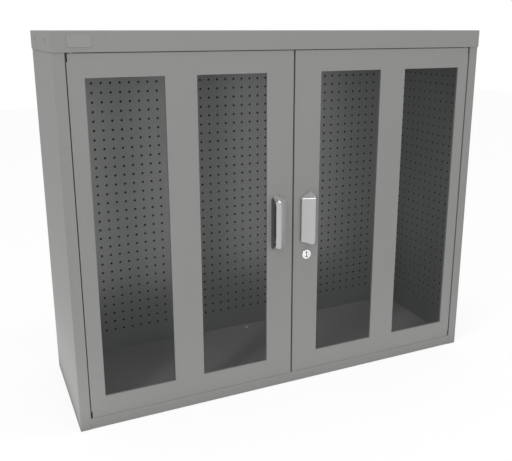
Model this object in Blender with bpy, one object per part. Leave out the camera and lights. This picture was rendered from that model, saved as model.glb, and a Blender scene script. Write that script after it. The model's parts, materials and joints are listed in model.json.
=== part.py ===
"""Pegboard wall cabinet with a pair of windowed doors, as an assembly of real pieces.

Metres, +Z up, the front towards -Y, the origin at the middle of the base.
Most pieces are folded sheet: a side view of the folds, carried along the third direction.
Depths are given from the front face of the closed doors towards the back.
"""

import math

import bmesh
import bpy
from mathutils import Matrix, Vector

for leftover in list(bpy.data.objects):
    bpy.data.objects.remove(leftover, do_unlink=True)

# Driving dimensions of the body
BODY_WIDTH = 1.138
BODY_DEPTH = 0.365
BODY_HEIGHT = 0.940
SHEET = 0.0012
FIT = 0.0003
STILE_FACE = 0.0243
STILE_LIP = 0.018
REAR_FLANGE = 0.020
RAIL_HEIGHT = 0.0287
BASE_LIP = 0.020
HEADER_DEPTH = 0.040
HEADER_UPSTAND = 0.015

# Top cap
CAP_SHEET = 0.0015
CAP_SKIRT = 0.045
CAP_HOLE_RADIUS = 0.005
CAP_HOLE_DROP = 0.0207
CAP_HOLE_FRONT = 0.0803
CAP_HOLE_REAR = 0.0878
LABEL_WIDTH = 0.052
LABEL_HEIGHT = 0.028
LABEL_SHEET = 0.0008
LABEL_INSET = 0.0327
LABEL_DROP = 0.0064

# Pegboard liners
BACK_STANDOFF = 0.028
SIDE_STANDOFF = 0.0217
LINER_SETBACK = 0.021
SCREW_RADIUS = 0.0021
SCREW_HEAD_RADIUS = 0.004
SCREW_HEAD = 0.0025
HEAD_CROWN = 0.6
SCREW_INSET = 0.0105
SCREW_FROM_END = 0.093
RIVET_RADIUS = 0.0045
RIVET_DOME = 0.002
RIVET_SHANK_RADIUS = 0.002
RIVET_FROM_BACK = 0.0524

# Keyhole slots in the back, for hanging on wall screws
KEYHOLE_RADIUS = 0.006
KEYHOLE_NECK = 0.003
KEYHOLE_RISE = 0.012
KEYHOLE_INSET = 0.060
KEYHOLE_DROP = 0.080

# Doors
DOOR_GAP = 0.003
BASE_GAP = 0.002
HEAD_REVEAL = 0.0015
DOOR_DEPTH = 0.020
DOOR_LIP = 0.010
WINDOW_HINGE_MARGIN = 0.0365
WINDOW_CENTRE_MARGIN = 0.0733
WINDOW_BAR = 0.076
WINDOW_FOOT_MARGIN = 0.0508
WINDOW_HEAD_MARGIN = 0.0526
NOTCH_WIDTH = 0.0025
NOTCH_HEIGHT = 0.018
PANE_SHEET = 0.003
PANE_LAP = 0.010
FRAME_WIDTH = 0.020
FRAME_COVER = 0.0012

# Pivot hinges
HINGE_INSET = 0.012
HINGE_SETBACK = 0.0075
PIN_RADIUS = 0.003
PIN_HEAD_RADIUS = 0.0045
PIN_HEAD = 0.002
PIN_COLLAR_RADIUS = 0.005
BUSH_WALL = 0.0012
BUSH_LENGTH = 0.009
BUSH_PROUD = 0.0005
BUSH_FLANGE = 0.0015
BUSH_FLANGE_RADIUS = 0.0055
HINGE_PLATE = 0.003
HINGE_PLATE_REACH = 0.0147
HINGE_PLATE_DEPTH = 0.023

# Catches and stops
CATCH_WIDTH = 0.040
CATCH_DEPTH = 0.014
CATCH_HEIGHT = 0.010
CATCH_ROUND = 0.001
CATCH_FROM_CENTRE = 0.090
STOP_WIDTH = 0.016
STOP_DEPTH = 0.010
STOP_HEIGHT = 0.012
STOP_ROUND = 0.002
STOP_FROM_CENTRE = 0.120

# Slide bolt of the left door
BOLT_FROM_CENTRE = 0.024
BOLT_SETBACK = 0.010
BOLT_RADIUS = 0.003
BOLT_GRIP_RADIUS = 0.006
BOLT_GRIP_LENGTH = 0.012
BOLT_TAIL = 0.010
BOLT_STROKE = 0.012
BOLT_SPARE = 0.005
GUIDE_WIDTH = 0.020
GUIDE_HEIGHT = 0.026
GUIDE_DROP = 0.026

# Handles: a cast hood, its section given from the door's centre edge and face
HANDLE_RISE = 0.0297
HANDLE_CREST = 0.0462
HANDLE_INNER = 0.0199
HANDLE_INNER_RISE = 0.0065
HANDLE_OUTER = 0.0575
HANDLE_OUTER_RISE = 0.0224
HANDLE_WALL = 0.0025
HANDLE_CENTRE_HEIGHT = 0.4627
HANDLE_STRAIGHT = 0.1166
HANDLE_SHOULDER = 0.011
HANDLE_SHOULDER_RISE = 0.72
HANDLE_TIP = 0.006
HANDLE_TIP_CENTRE = 0.0505
HANDLE_TIP_WIDTH = 0.10
HANDLE_TIP_RISE = 0.10
BOSS_RADIUS = 0.0045
BOSS_FROM_EDGE = 0.0445
BOSS_FROM_END = 0.0065
BOSS_HOLE_DEPTH = 0.014
BOSS_HEIGHT = 0.0235

# Cam lock of the right door
LOCK_FROM_EDGE = 0.0385
LOCK_BELOW_HANDLE = 0.0384
LOCK_FACE_RADIUS = 0.0127
LOCK_FACE = 0.0032
LOCK_RIM = 0.0008
LOCK_BODY_RADIUS = 0.0095
LOCK_BODY_LENGTH = 0.018
LOCK_PLUG_RADIUS = 0.0063
LOCK_PLUG_PROUD = 0.0029
KEYHOLE_SLOT_WIDTH = 0.0022
KEYHOLE_SLOT_HEIGHT = 0.0104
KEYHOLE_SLOT_DEPTH = 0.006
NUT_FLATS = 0.024
NUT_THICKNESS = 0.0035
CAM_SHEET = 0.002
CAM_CLEARANCE = 0.0006
CAM_REACH = 0.053
CAM_ROOT_WIDTH = 0.014
CAM_TIP_WIDTH = 0.009
CAM_SCREW_RADIUS = 0.002
CAM_SCREW_HEAD_RADIUS = 0.0045
CAM_SCREW_LENGTH = 0.008

# Places that follow from the sizes above
HALF = BODY_WIDTH / 2
FRONT = (HANDLE_RISE - BODY_DEPTH) / 2
BODY_TOP = BODY_HEIGHT - CAP_SHEET - FIT
SIDE_DEPTH = BODY_DEPTH - SHEET - FIT
INNER_HALF = HALF - SHEET - FIT
STILE_HALF = HALF - STILE_FACE - FIT
DOOR_LOW = RAIL_HEIGHT + BASE_GAP
DOOR_HIGH = BODY_HEIGHT - CAP_SKIRT - HEAD_REVEAL
HEADER_LOW = DOOR_HIGH + DOOR_GAP
DOOR_INNER = DOOR_GAP / 2
DOOR_OUTER = HALF - STILE_FACE - DOOR_GAP
WINDOW_LOW = DOOR_LOW + WINDOW_FOOT_MARGIN
WINDOW_HIGH = DOOR_HIGH - WINDOW_HEAD_MARGIN
WINDOW_WIDTH = (DOOR_OUTER - DOOR_INNER - WINDOW_HINGE_MARGIN - WINDOW_CENTRE_MARGIN - WINDOW_BAR) / 2
LINER_LOW = RAIL_HEIGHT + FIT
LINER_HIGH = HEADER_LOW - FIT
SCREW_LOW = LINER_LOW + SCREW_FROM_END
SCREW_HIGH = LINER_HIGH - SCREW_FROM_END
BACK_FACE = BODY_DEPTH - BACK_STANDOFF
HINGE_X = DOOR_OUTER - HINGE_INSET
PANE_FRONT = SHEET + FIT
PANE_BACK = PANE_FRONT + PANE_SHEET
HANDLE_TOP = HANDLE_CENTRE_HEIGHT + HANDLE_STRAIGHT / 2
HANDLE_LOW = HANDLE_CENTRE_HEIGHT - HANDLE_STRAIGHT / 2
LOCK_X = DOOR_INNER + LOCK_FROM_EDGE
LOCK_Z = HANDLE_LOW - LOCK_BELOW_HANDLE
CAM_FRONT = DOOR_DEPTH + CAM_CLEARANCE
GUIDE_HIGH = DOOR_HIGH - SHEET - GUIDE_DROP
GUIDE_LOW = GUIDE_HIGH - GUIDE_HEIGHT
CUT_REACH = 2 * SHEET
LEFT, RIGHT = -1, 1
SIDE_WORDS = {LEFT: "left", RIGHT: "right"}


def finish(name, colour, roughness, metallic=0.0, alpha=1.0):
    """Return a Principled material of one finish."""
    material = bpy.data.materials.new(name)
    material.use_nodes = True
    shader = material.node_tree.nodes["Principled BSDF"]
    shader.inputs["Base Color"].default_value = (*colour, 1.0)
    shader.inputs["Roughness"].default_value = roughness
    shader.inputs["Metallic"].default_value = metallic
    shader.inputs["Alpha"].default_value = alpha
    return material


GREY_PAINT = ("grey_paint", (0.30, 0.30, 0.29), 0.45)
LINER_PAINT = ("liner_paint", (0.27, 0.28, 0.27), 0.55)
SILVER_PAINT = ("silver_paint", (0.50, 0.50, 0.50), 0.30)
CHROME = ("chrome", (0.80, 0.80, 0.80), 0.12, 1.0)
ZINC = ("zinc", (0.55, 0.55, 0.56), 0.35, 1.0)
CLEAR = ("clear_sheet", (0.90, 0.92, 0.92), 0.05, 0.0, 0.25)
BLACK_RUBBER = ("black_rubber", (0.03, 0.03, 0.03), 0.70)
WHITE_NYLON = ("white_nylon", (0.75, 0.75, 0.72), 0.45)
BARE_PLATE = ("bare_plate", (0.34, 0.34, 0.33), 0.40)


class Body:
    """A group of pieces that move together, hung on an empty at its joint."""

    def __init__(self, name, pivot=(0.0, 0.0, 0.0)):
        self.pivot = Vector(pivot)
        self.anchor = bpy.data.objects.new(name + "_axis", None)
        self.anchor.location = self.pivot
        bpy.context.collection.objects.link(self.anchor)

    def place(self, name, mesh):
        """Link a mesh built in world coordinates as an object on this body's axis."""
        data = bpy.data.meshes.new(name)
        bmesh.ops.translate(mesh, verts=mesh.verts, vec=-self.pivot)
        mesh.to_mesh(data)
        mesh.free()
        piece = bpy.data.objects.new(name, data)
        bpy.context.collection.objects.link(piece)
        piece.parent = self.anchor
        return piece

    def add(self, name, mesh, look, cutters=(), joined=()):
        """Add a piece with its finish, the shapes joined to it and the shapes cut from it."""
        piece = self.place(name, mesh)
        piece.data.materials.append(finish(name + "_" + look[0], *look[1:]))
        for kind, shapes in (("UNION", joined), ("DIFFERENCE", cutters)):
            for index, shape in enumerate(shapes):
                tool = self.place(f"{name}_{kind.lower()}_{index}", shape)
                tool.hide_render = True
                tool.display_type = "WIRE"
                step = piece.modifiers.new(f"{kind.lower()} {index}", "BOOLEAN")
                step.operation = kind
                step.object = tool
        return piece


def box(x_range, depth_range, z_range):
    """A block between two X values, two depths behind the door face and two heights."""
    spans = (sorted(x_range), sorted(depth_range), sorted(z_range))
    mesh = bmesh.new()
    bmesh.ops.create_cube(mesh, size=1.0)
    size = Vector([high - low for low, high in spans])
    middle = Vector([(low + high) / 2 for low, high in spans])
    middle.y += FRONT
    bmesh.ops.scale(mesh, verts=mesh.verts, vec=size)
    bmesh.ops.translate(mesh, verts=mesh.verts, vec=middle)
    return mesh


def soft_box(x_range, depth_range, z_range, radius):
    """A block with rounded edges."""
    mesh = box(x_range, depth_range, z_range)
    bmesh.ops.bevel(mesh, geom=mesh.edges[:], offset=radius, segments=2, profile=0.5, affect="EDGES")
    return mesh


def prism(outline, axis, low, high):
    """Carry a closed outline along an axis.

    The outline holds (depth, height) pairs for axis X, (x, depth) pairs for axis Z
    and (x, height) pairs for axis Y.
    """
    def point(first, second, along):
        if axis == "X":
            return (along, FRONT + first, second)
        if axis == "Y":
            return (first, FRONT + along, second)
        return (first, FRONT + second, along)

    mesh = bmesh.new()
    face = mesh.faces.new([mesh.verts.new(point(first, second, low)) for first, second in outline])
    grown = bmesh.ops.extrude_face_region(mesh, geom=[face])
    moved = [item for item in grown["geom"] if isinstance(item, bmesh.types.BMVert)]
    step = Vector(point(0.0, 0.0, high)) - Vector(point(0.0, 0.0, low))
    bmesh.ops.translate(mesh, verts=moved, vec=step)
    bmesh.ops.recalc_face_normals(mesh, faces=mesh.faces[:])
    return mesh


def offset_path(path, distance):
    """Move an open path sideways to its left, with mitred corners."""
    normals = []
    for (x0, y0), (x1, y1) in zip(path, path[1:]):
        length = math.hypot(x1 - x0, y1 - y0)
        normals.append(((y0 - y1) / length, (x1 - x0) / length))
    shifted = []
    for index, (x, y) in enumerate(path):
        before = normals[max(index - 1, 0)]
        after = normals[min(index, len(normals) - 1)]
        scale = distance / (1.0 + before[0] * after[0] + before[1] * after[1])
        shifted.append((x + (before[0] + after[0]) * scale, y + (before[1] + after[1]) * scale))
    return shifted


def folded(path, thickness):
    """The outline of a folded sheet whose outer side is the path, its metal to the path's left."""
    return path + offset_path(path, thickness)[::-1]


def turned(profile, centre, axis, segments=24):
    """Turn a closed profile of (radius, distance along the axis) pairs about an axis.

    The centre is (x, depth, height), and distances run towards +Z or towards the back.
    """
    mesh = bmesh.new()
    ring = [mesh.verts.new((radius, 0.0, along)) for radius, along in profile]
    edges = [mesh.edges.new((ring[i], ring[(i + 1) % len(ring)])) for i in range(len(ring))]
    bmesh.ops.spin(mesh, geom=ring + edges, cent=(0, 0, 0), axis=(0, 0, 1), angle=math.tau,
                   steps=segments, use_merge=True)
    bmesh.ops.remove_doubles(mesh, verts=mesh.verts[:], dist=1e-6)
    bmesh.ops.dissolve_degenerate(mesh, edges=mesh.edges[:], dist=1e-6)
    if axis == "Y":
        tip_back = Matrix.Rotation(-math.pi / 2, 3, "X")
        bmesh.ops.rotate(mesh, verts=mesh.verts[:], cent=(0, 0, 0), matrix=tip_back)
    x, depth, height = centre
    bmesh.ops.translate(mesh, verts=mesh.verts[:], vec=(x, FRONT + depth, height))
    bmesh.ops.recalc_face_normals(mesh, faces=mesh.faces[:])
    return mesh


def solid_turned(steps, centre, axis, segments=24):
    """Turn a solid whose outer side is a list of (radius, distance) steps, closed at both ends."""
    return turned([(0.0, steps[0][1])] + steps + [(0.0, steps[-1][1])], centre, axis, segments)


def rod(radius, low, high, centre, axis, segments=24):
    """A plain round bar."""
    return solid_turned([(radius, low), (radius, high)], centre, axis, segments)


def domed_head(radius, height, seat, way):
    """Steps of a screw or rivet head from its seat to its crown, one way along its axis."""
    return [(radius, seat), (radius, seat + way * height / 2), (HEAD_CROWN * radius, seat + way * height)]


def rounded(piece):
    """Shade the round sides of a piece smooth and keep its corners sharp."""
    piece.data.shade_smooth()
    piece.data.set_sharp_from_angle(angle=math.radians(35))
    return piece


def window_spans():
    """The two windows of the right door, as spans of X from the centre outwards."""
    first = DOOR_INNER + WINDOW_CENTRE_MARGIN
    second = first + WINDOW_WIDTH + WINDOW_BAR
    return {"inner": (first, first + WINDOW_WIDTH), "outer": (second, second + WINDOW_WIDTH)}


def mirrored(span, side):
    """A span of X on the left or right side of the cabinet."""
    return tuple(side * value for value in span)


def widened(span, margin):
    """A span made wider by a margin at both ends."""
    low, high = sorted(span)
    return (low - margin, high + margin)


def build_side_panel(cabinet, side, name):
    """Side panel: web, front stile with its return lip, and rear flange."""
    path = [(side * (HALF - STILE_FACE), STILE_LIP), (side * (HALF - STILE_FACE), 0.0), (side * HALF, 0.0),
            (side * HALF, SIDE_DEPTH), (side * (HALF - REAR_FLANGE), SIDE_DEPTH)]
    outline = folded(path, side * SHEET)
    lip_zone = mirrored((HALF - STILE_FACE - FIT, HALF - STILE_FACE + SHEET + FIT), side)
    behind_face = (SHEET + FIT, STILE_LIP + FIT)
    cutters = [box(lip_zone, behind_face, (-FIT, LINER_LOW)),
               box(lip_zone, behind_face, (LINER_HIGH, BODY_TOP + FIT))]
    for depth in (CAP_HOLE_FRONT, BODY_DEPTH - CAP_HOLE_REAR):
        cutters.append(side_hole(side, depth))
    for height in (SCREW_LOW, SCREW_HIGH):
        centre = (side * (HALF - SCREW_INSET), SIDE_DEPTH, height)
        cutters.append(rod(SCREW_RADIUS + FIT, -CUT_REACH, SHEET, centre, "Y", 16))
    cabinet.add(name, prism(outline, "Z", 0.0, BODY_TOP), GREY_PAINT, cutters)


def side_hole(side, depth):
    """A drill through the side of the cap and the panel behind it."""
    reach = SHEET + CAP_SHEET + 2 * FIT
    mesh = bmesh.new()
    bmesh.ops.create_cone(mesh, cap_ends=True, segments=20, radius1=CAP_HOLE_RADIUS,
                          radius2=CAP_HOLE_RADIUS, depth=2 * reach)
    lay_across = Matrix.Rotation(math.pi / 2, 3, "Y")
    bmesh.ops.rotate(mesh, verts=mesh.verts[:], cent=(0, 0, 0), matrix=lay_across)
    centre = (side * HALF, FRONT + depth, BODY_HEIGHT - CAP_HOLE_DROP)
    bmesh.ops.translate(mesh, verts=mesh.verts[:], vec=centre)
    return mesh


def build_bottom_pan(cabinet):
    """Floor with a front rail, a rear wall and lips that stand on the ground."""
    depth = SIDE_DEPTH - SHEET - FIT
    path = [(BASE_LIP, 0.0), (0.0, 0.0), (0.0, RAIL_HEIGHT), (depth, RAIL_HEIGHT), (depth, 0.0),
            (depth - BASE_LIP, 0.0)]
    cutters = []
    for side in (LEFT, RIGHT):
        corner = mirrored((STILE_HALF, HALF), side)
        cutters.append(box(corner, (-FIT, SHEET + 2 * FIT), (-FIT, RAIL_HEIGHT + FIT)))
        hinge = (side * HINGE_X, HINGE_SETBACK, RAIL_HEIGHT)
        cutters.append(rod(PIN_RADIUS + FIT, -CUT_REACH, SHEET, hinge, "Z", 16))
    rivet = (0.0, BODY_DEPTH - RIVET_FROM_BACK, RAIL_HEIGHT)
    cutters.append(rod(RIVET_SHANK_RADIUS + FIT, -CUT_REACH, SHEET, rivet, "Z", 16))
    pan = prism(folded(path, -SHEET), "X", -INNER_HALF, INNER_HALF)
    cabinet.add("bottom_pan", pan, GREY_PAINT, cutters)
    steps = [(RIVET_SHANK_RADIUS, -2 * SHEET), (RIVET_SHANK_RADIUS, FIT)]
    steps += domed_head(RIVET_RADIUS, RIVET_DOME, FIT, 1)
    rounded(cabinet.add("floor_rivet", solid_turned(steps, rivet, "Z", 16), CHROME))


def build_header(cabinet):
    """Header channel between the stiles, hidden by the front skirt of the cap."""
    high = BODY_TOP - FIT
    path = [(0.0, high), (0.0, HEADER_LOW), (HEADER_DEPTH, HEADER_LOW),
            (HEADER_DEPTH, HEADER_LOW + HEADER_UPSTAND)]
    bolt = (-BOLT_FROM_CENTRE, BOLT_SETBACK, HEADER_LOW)
    cutters = [rod(BOLT_RADIUS + 2 * FIT, -SHEET, CUT_REACH, bolt, "Z", 16)]
    for side in (LEFT, RIGHT):
        hinge = (side * HINGE_X, HINGE_SETBACK, HEADER_LOW)
        cutters.append(rod(PIN_RADIUS + FIT, -SHEET, CUT_REACH, hinge, "Z", 16))
    channel = prism(folded(path, SHEET), "X", -STILE_HALF, STILE_HALF)
    cabinet.add("header_channel", channel, GREY_PAINT, cutters)


def build_back_panel(cabinet):
    """Flat back sheet with four keyhole slots."""
    cutters = []
    reach = (BODY_DEPTH - CUT_REACH, BODY_DEPTH + SHEET)
    for x in (KEYHOLE_INSET - HALF, HALF - KEYHOLE_INSET):
        for height in (KEYHOLE_DROP, BODY_TOP - KEYHOLE_DROP):
            centre = (x, BODY_DEPTH, height)
            hole = rod(KEYHOLE_RADIUS, -CUT_REACH, SHEET, centre, "Y", 20)
            neck = box((x - KEYHOLE_NECK, x + KEYHOLE_NECK), reach, (height, height + KEYHOLE_RISE))
            cutters += [hole, neck]
    sheet = box((-HALF, HALF), (BODY_DEPTH - SHEET, BODY_DEPTH), (0.0, BODY_TOP))
    cabinet.add("back_panel", sheet, GREY_PAINT, cutters)


def build_cap(cabinet):
    """Lid with a skirt at the front and both sides, open at the back."""
    out = FIT + CAP_SHEET
    skirt_low = BODY_HEIGHT - CAP_SKIRT
    lid = box((-HALF - out, HALF + out), (-out, BODY_DEPTH), (skirt_low, BODY_HEIGHT))
    hollow = box((-HALF - FIT, HALF + FIT), (-FIT, BODY_DEPTH + out),
                 (skirt_low - out, BODY_HEIGHT - CAP_SHEET))
    cutters = [hollow]
    for side in (LEFT, RIGHT):
        for depth in (CAP_HOLE_FRONT, BODY_DEPTH - CAP_HOLE_REAR):
            cutters.append(side_hole(side, depth))
    cap = cabinet.add("top_cap", lid, GREY_PAINT, cutters)
    bevel = cap.modifiers.new("edge", "BEVEL")
    bevel.width = FIT
    bevel.segments = 1
    bevel.limit_method = "ANGLE"
    bevel.angle_limit = math.radians(80)
    label_front = -out - FIT - LABEL_SHEET
    left = -HALF - out + LABEL_INSET
    high = BODY_HEIGHT - LABEL_DROP
    plate = box((left, left + LABEL_WIDTH), (label_front, label_front + LABEL_SHEET),
                (high - LABEL_HEIGHT, high))
    cabinet.add("label_plate", plate, BARE_PLATE)


def build_liners(cabinet):
    """Pegboard liners: one across the back and one on each side."""
    edge = HALF - SIDE_STANDOFF - FIT
    foot = HALF - SHEET - 2 * FIT
    foot_depth = SIDE_DEPTH - SHEET - FIT
    path = [(-foot, foot_depth - SHEET), (-edge, foot_depth - SHEET), (-edge, BACK_FACE), (edge, BACK_FACE),
            (edge, foot_depth - SHEET), (foot, foot_depth - SHEET)]
    screws = [(side, height) for side in (LEFT, RIGHT) for height in (SCREW_LOW, SCREW_HIGH)]
    cutters = []
    for side, height in screws:
        centre = (side * (HALF - SCREW_INSET), foot_depth, height)
        cutters.append(rod(SCREW_RADIUS + FIT, -CUT_REACH, SHEET, centre, "Y", 16))
    back = prism(folded(path, SHEET), "Z", LINER_LOW, LINER_HIGH)
    cabinet.add("back_pegboard", back, LINER_PAINT, cutters)
    for side, height in screws:
        centre = (side * (HALF - SCREW_INSET), foot_depth - SHEET - FIT, height)
        steps = domed_head(SCREW_HEAD_RADIUS, SCREW_HEAD, 0.0, -1)[::-1]
        steps += [(SCREW_RADIUS, 0.0), (SCREW_RADIUS, 2 * SHEET + 2 * FIT)]
        where = f"{SIDE_WORDS[side]}_{'lower' if height == SCREW_LOW else 'upper'}"
        rounded(cabinet.add("liner_screw_" + where, solid_turned(steps, centre, "Y", 16), ZINC))
    for side, word in SIDE_WORDS.items():
        wall = side * INNER_HALF
        face = side * (HALF - SIDE_STANDOFF)
        rear = BACK_FACE - FIT
        path = [(wall, LINER_SETBACK), (face, LINER_SETBACK), (face, rear), (wall, rear)]
        liner = prism(folded(path, side * -SHEET), "Z", LINER_LOW, LINER_HIGH)
        cabinet.add(f"{word}_pegboard", liner, LINER_PAINT)


def build_hinges(cabinet, doors):
    """Pivot hinges: a plate and pin at the head and the foot of each door, and the door's bushes."""
    behind = (SHEET + FIT, SHEET + FIT + HINGE_PLATE_DEPTH)
    ends = {"upper": (HEADER_LOW + SHEET + FIT, 1), "lower": (RAIL_HEIGHT - SHEET - FIT, -1)}
    for side, word in SIDE_WORDS.items():
        x = side * HINGE_X
        across = mirrored((HINGE_X - HINGE_PLATE_REACH, STILE_HALF), side)
        for end, (seat, up) in ends.items():
            plate = box(across, behind, (seat, seat + up * HINGE_PLATE))
            reach = HINGE_PLATE + SHEET
            drill = rod(PIN_RADIUS + FIT, seat - reach, seat + reach, (x, HINGE_SETBACK, 0.0), "Z", 16)
            cabinet.add(f"{word}_hinge_plate_{end}", plate, ZINC, [drill])
            build_pin(cabinet, f"{word}_hinge_pin_{end}", x, seat, up)
            build_bush(doors[side], f"{word}_door_bush_{end}", x, up)


def build_pin(cabinet, name, x, seat, up):
    """A pivot pin from its head beyond the plate to the far end of the door's bush."""
    head = seat + up * (HINGE_PLATE + FIT)
    door_edge = DOOR_HIGH if up > 0 else DOOR_LOW
    tip = door_edge - up * BUSH_LENGTH
    steps = [(PIN_HEAD_RADIUS, head + up * PIN_HEAD), (PIN_HEAD_RADIUS, head), (PIN_RADIUS, head)]
    if up < 0:
        shoulder = RAIL_HEIGHT + FIT
        bearing = DOOR_LOW - BUSH_PROUD - FIT
        steps += [(PIN_RADIUS, shoulder), (PIN_COLLAR_RADIUS, shoulder), (PIN_COLLAR_RADIUS, bearing),
                  (PIN_RADIUS, bearing)]
    steps.append((PIN_RADIUS, tip))
    rounded(cabinet.add(name, solid_turned(steps, (x, HINGE_SETBACK, 0.0), "Z", 20), ZINC))


def build_bush(door, name, x, up):
    """A flanged bush pressed through the end wall of the door."""
    edge = DOOR_HIGH if up > 0 else DOOR_LOW
    bore = PIN_RADIUS + FIT
    shank = bore + BUSH_WALL
    flange = edge - up * (SHEET + FIT)
    proud = edge + up * BUSH_PROUD
    end = edge - up * BUSH_LENGTH
    under = flange - up * BUSH_FLANGE
    profile = [(bore, proud), (shank, proud), (shank, flange), (BUSH_FLANGE_RADIUS, flange),
               (BUSH_FLANGE_RADIUS, under), (shank, under), (shank, end), (bore, end)]
    rounded(door.add(name, turned(profile, (x, HINGE_SETBACK, 0.0), "Z", 20), WHITE_NYLON))


def build_catches(cabinet):
    """Magnetic catches under the header and rubber stops on the floor."""
    behind = DOOR_DEPTH + FIT
    for side, word in SIDE_WORDS.items():
        x = side * CATCH_FROM_CENTRE
        catch = soft_box((x - CATCH_WIDTH / 2, x + CATCH_WIDTH / 2), (behind, behind + CATCH_DEPTH),
                         (HEADER_LOW - FIT - CATCH_HEIGHT, HEADER_LOW - FIT), CATCH_ROUND)
        cabinet.add(f"{word}_magnetic_catch", catch, WHITE_NYLON)
        x = side * STOP_FROM_CENTRE
        stop = soft_box((x - STOP_WIDTH / 2, x + STOP_WIDTH / 2), (behind, behind + STOP_DEPTH),
                        (RAIL_HEIGHT + FIT, RAIL_HEIGHT + FIT + STOP_HEIGHT), STOP_ROUND)
        cabinet.add(f"{word}_door_stop", stop, BLACK_RUBBER)


def door_cutters(side):
    """What is cut from the door's block: its hollow, windows, corner notches and holes."""
    inner = (DOOR_INNER + SHEET, DOOR_OUTER - SHEET)
    cutters = [
        box(mirrored(inner, side), (SHEET, DOOR_DEPTH - SHEET), (DOOR_LOW + SHEET, DOOR_HIGH - SHEET)),
        box(mirrored((DOOR_INNER + DOOR_LIP, DOOR_OUTER - DOOR_LIP), side),
            (CUT_REACH, DOOR_DEPTH + SHEET), (DOOR_LOW + DOOR_LIP, DOOR_HIGH - DOOR_LIP)),
    ]
    for span in window_spans().values():
        cutters.append(box(mirrored(span, side), (-SHEET, CUT_REACH), (WINDOW_LOW, WINDOW_HIGH)))
    notch = mirrored((DOOR_OUTER - NOTCH_WIDTH, DOOR_OUTER + FIT), side)
    ends = ((DOOR_LOW - FIT, DOOR_LOW + NOTCH_HEIGHT), (DOOR_HIGH - NOTCH_HEIGHT, DOOR_HIGH + FIT))
    for low, high in ends:
        cutters.append(box(notch, (-SHEET, DOOR_DEPTH + SHEET), (low, high)))
    for edge in (DOOR_LOW, DOOR_HIGH):
        centre = (side * HINGE_X, HINGE_SETBACK, edge)
        cutters.append(rod(PIN_RADIUS + BUSH_WALL + 2 * FIT, -CUT_REACH, CUT_REACH, centre, "Z", 20))
    for height in boss_heights():
        centre = (side * (DOOR_INNER + BOSS_FROM_EDGE), 0.0, height)
        cutters.append(rod(SCREW_RADIUS + FIT, -SHEET, CUT_REACH, centre, "Y", 16))
    if side == LEFT:
        centre = (-BOLT_FROM_CENTRE, BOLT_SETBACK, DOOR_HIGH)
        cutters.append(rod(BOLT_RADIUS + FIT, -CUT_REACH, SHEET, centre, "Z", 16))
    else:
        cutters.append(rod(LOCK_BODY_RADIUS + FIT, -SHEET, CUT_REACH, (LOCK_X, 0.0, LOCK_Z), "Y"))
    return cutters


def build_door(door, side, word):
    """Door shell, its two panes and the frames that hold them."""
    block = box(mirrored((DOOR_INNER, DOOR_OUTER), side), (0.0, DOOR_DEPTH), (DOOR_LOW, DOOR_HIGH))
    door.add(f"{word}_door_shell", block, GREY_PAINT, door_cutters(side))
    height = (WINDOW_LOW, WINDOW_HIGH)
    for place, span in window_spans().items():
        across = mirrored(span, side)
        pane = box(widened(across, PANE_LAP), (PANE_FRONT, PANE_BACK), widened(height, PANE_LAP))
        door.add(f"{word}_pane_{place}", pane, CLEAR)
        ring = box(widened(across, FRAME_WIDTH), (PANE_FRONT, PANE_BACK + FIT + FRAME_COVER),
                   widened(height, FRAME_WIDTH))
        pocket = box(widened(across, PANE_LAP + FIT), (0.0, PANE_BACK + FIT),
                     widened(height, PANE_LAP + FIT))
        through = box(across, (PANE_FRONT - SHEET, PANE_BACK + 2 * FRAME_COVER), height)
        door.add(f"{word}_pane_frame_{place}", ring, GREY_PAINT, [pocket, through])


def boss_heights():
    """Heights of the two screw bosses of a handle."""
    return (HANDLE_LOW + BOSS_FROM_END, HANDLE_TOP - BOSS_FROM_END)


def handle_sections():
    """The handle's stations from its foot to its head: height, share of width and share of rise."""
    length = HANDLE_SHOULDER + HANDLE_TIP
    shoulder_width = HANDLE_TIP / length
    ends = [(0.0, 1.0, 1.0), (HANDLE_SHOULDER, shoulder_width, HANDLE_SHOULDER_RISE),
            (length, HANDLE_TIP_WIDTH, HANDLE_TIP_RISE)]
    lower = [(HANDLE_LOW - reach, width, rise) for reach, width, rise in reversed(ends)]
    upper = [(HANDLE_TOP + reach, width, rise) for reach, width, rise in ends]
    return lower + upper


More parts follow.
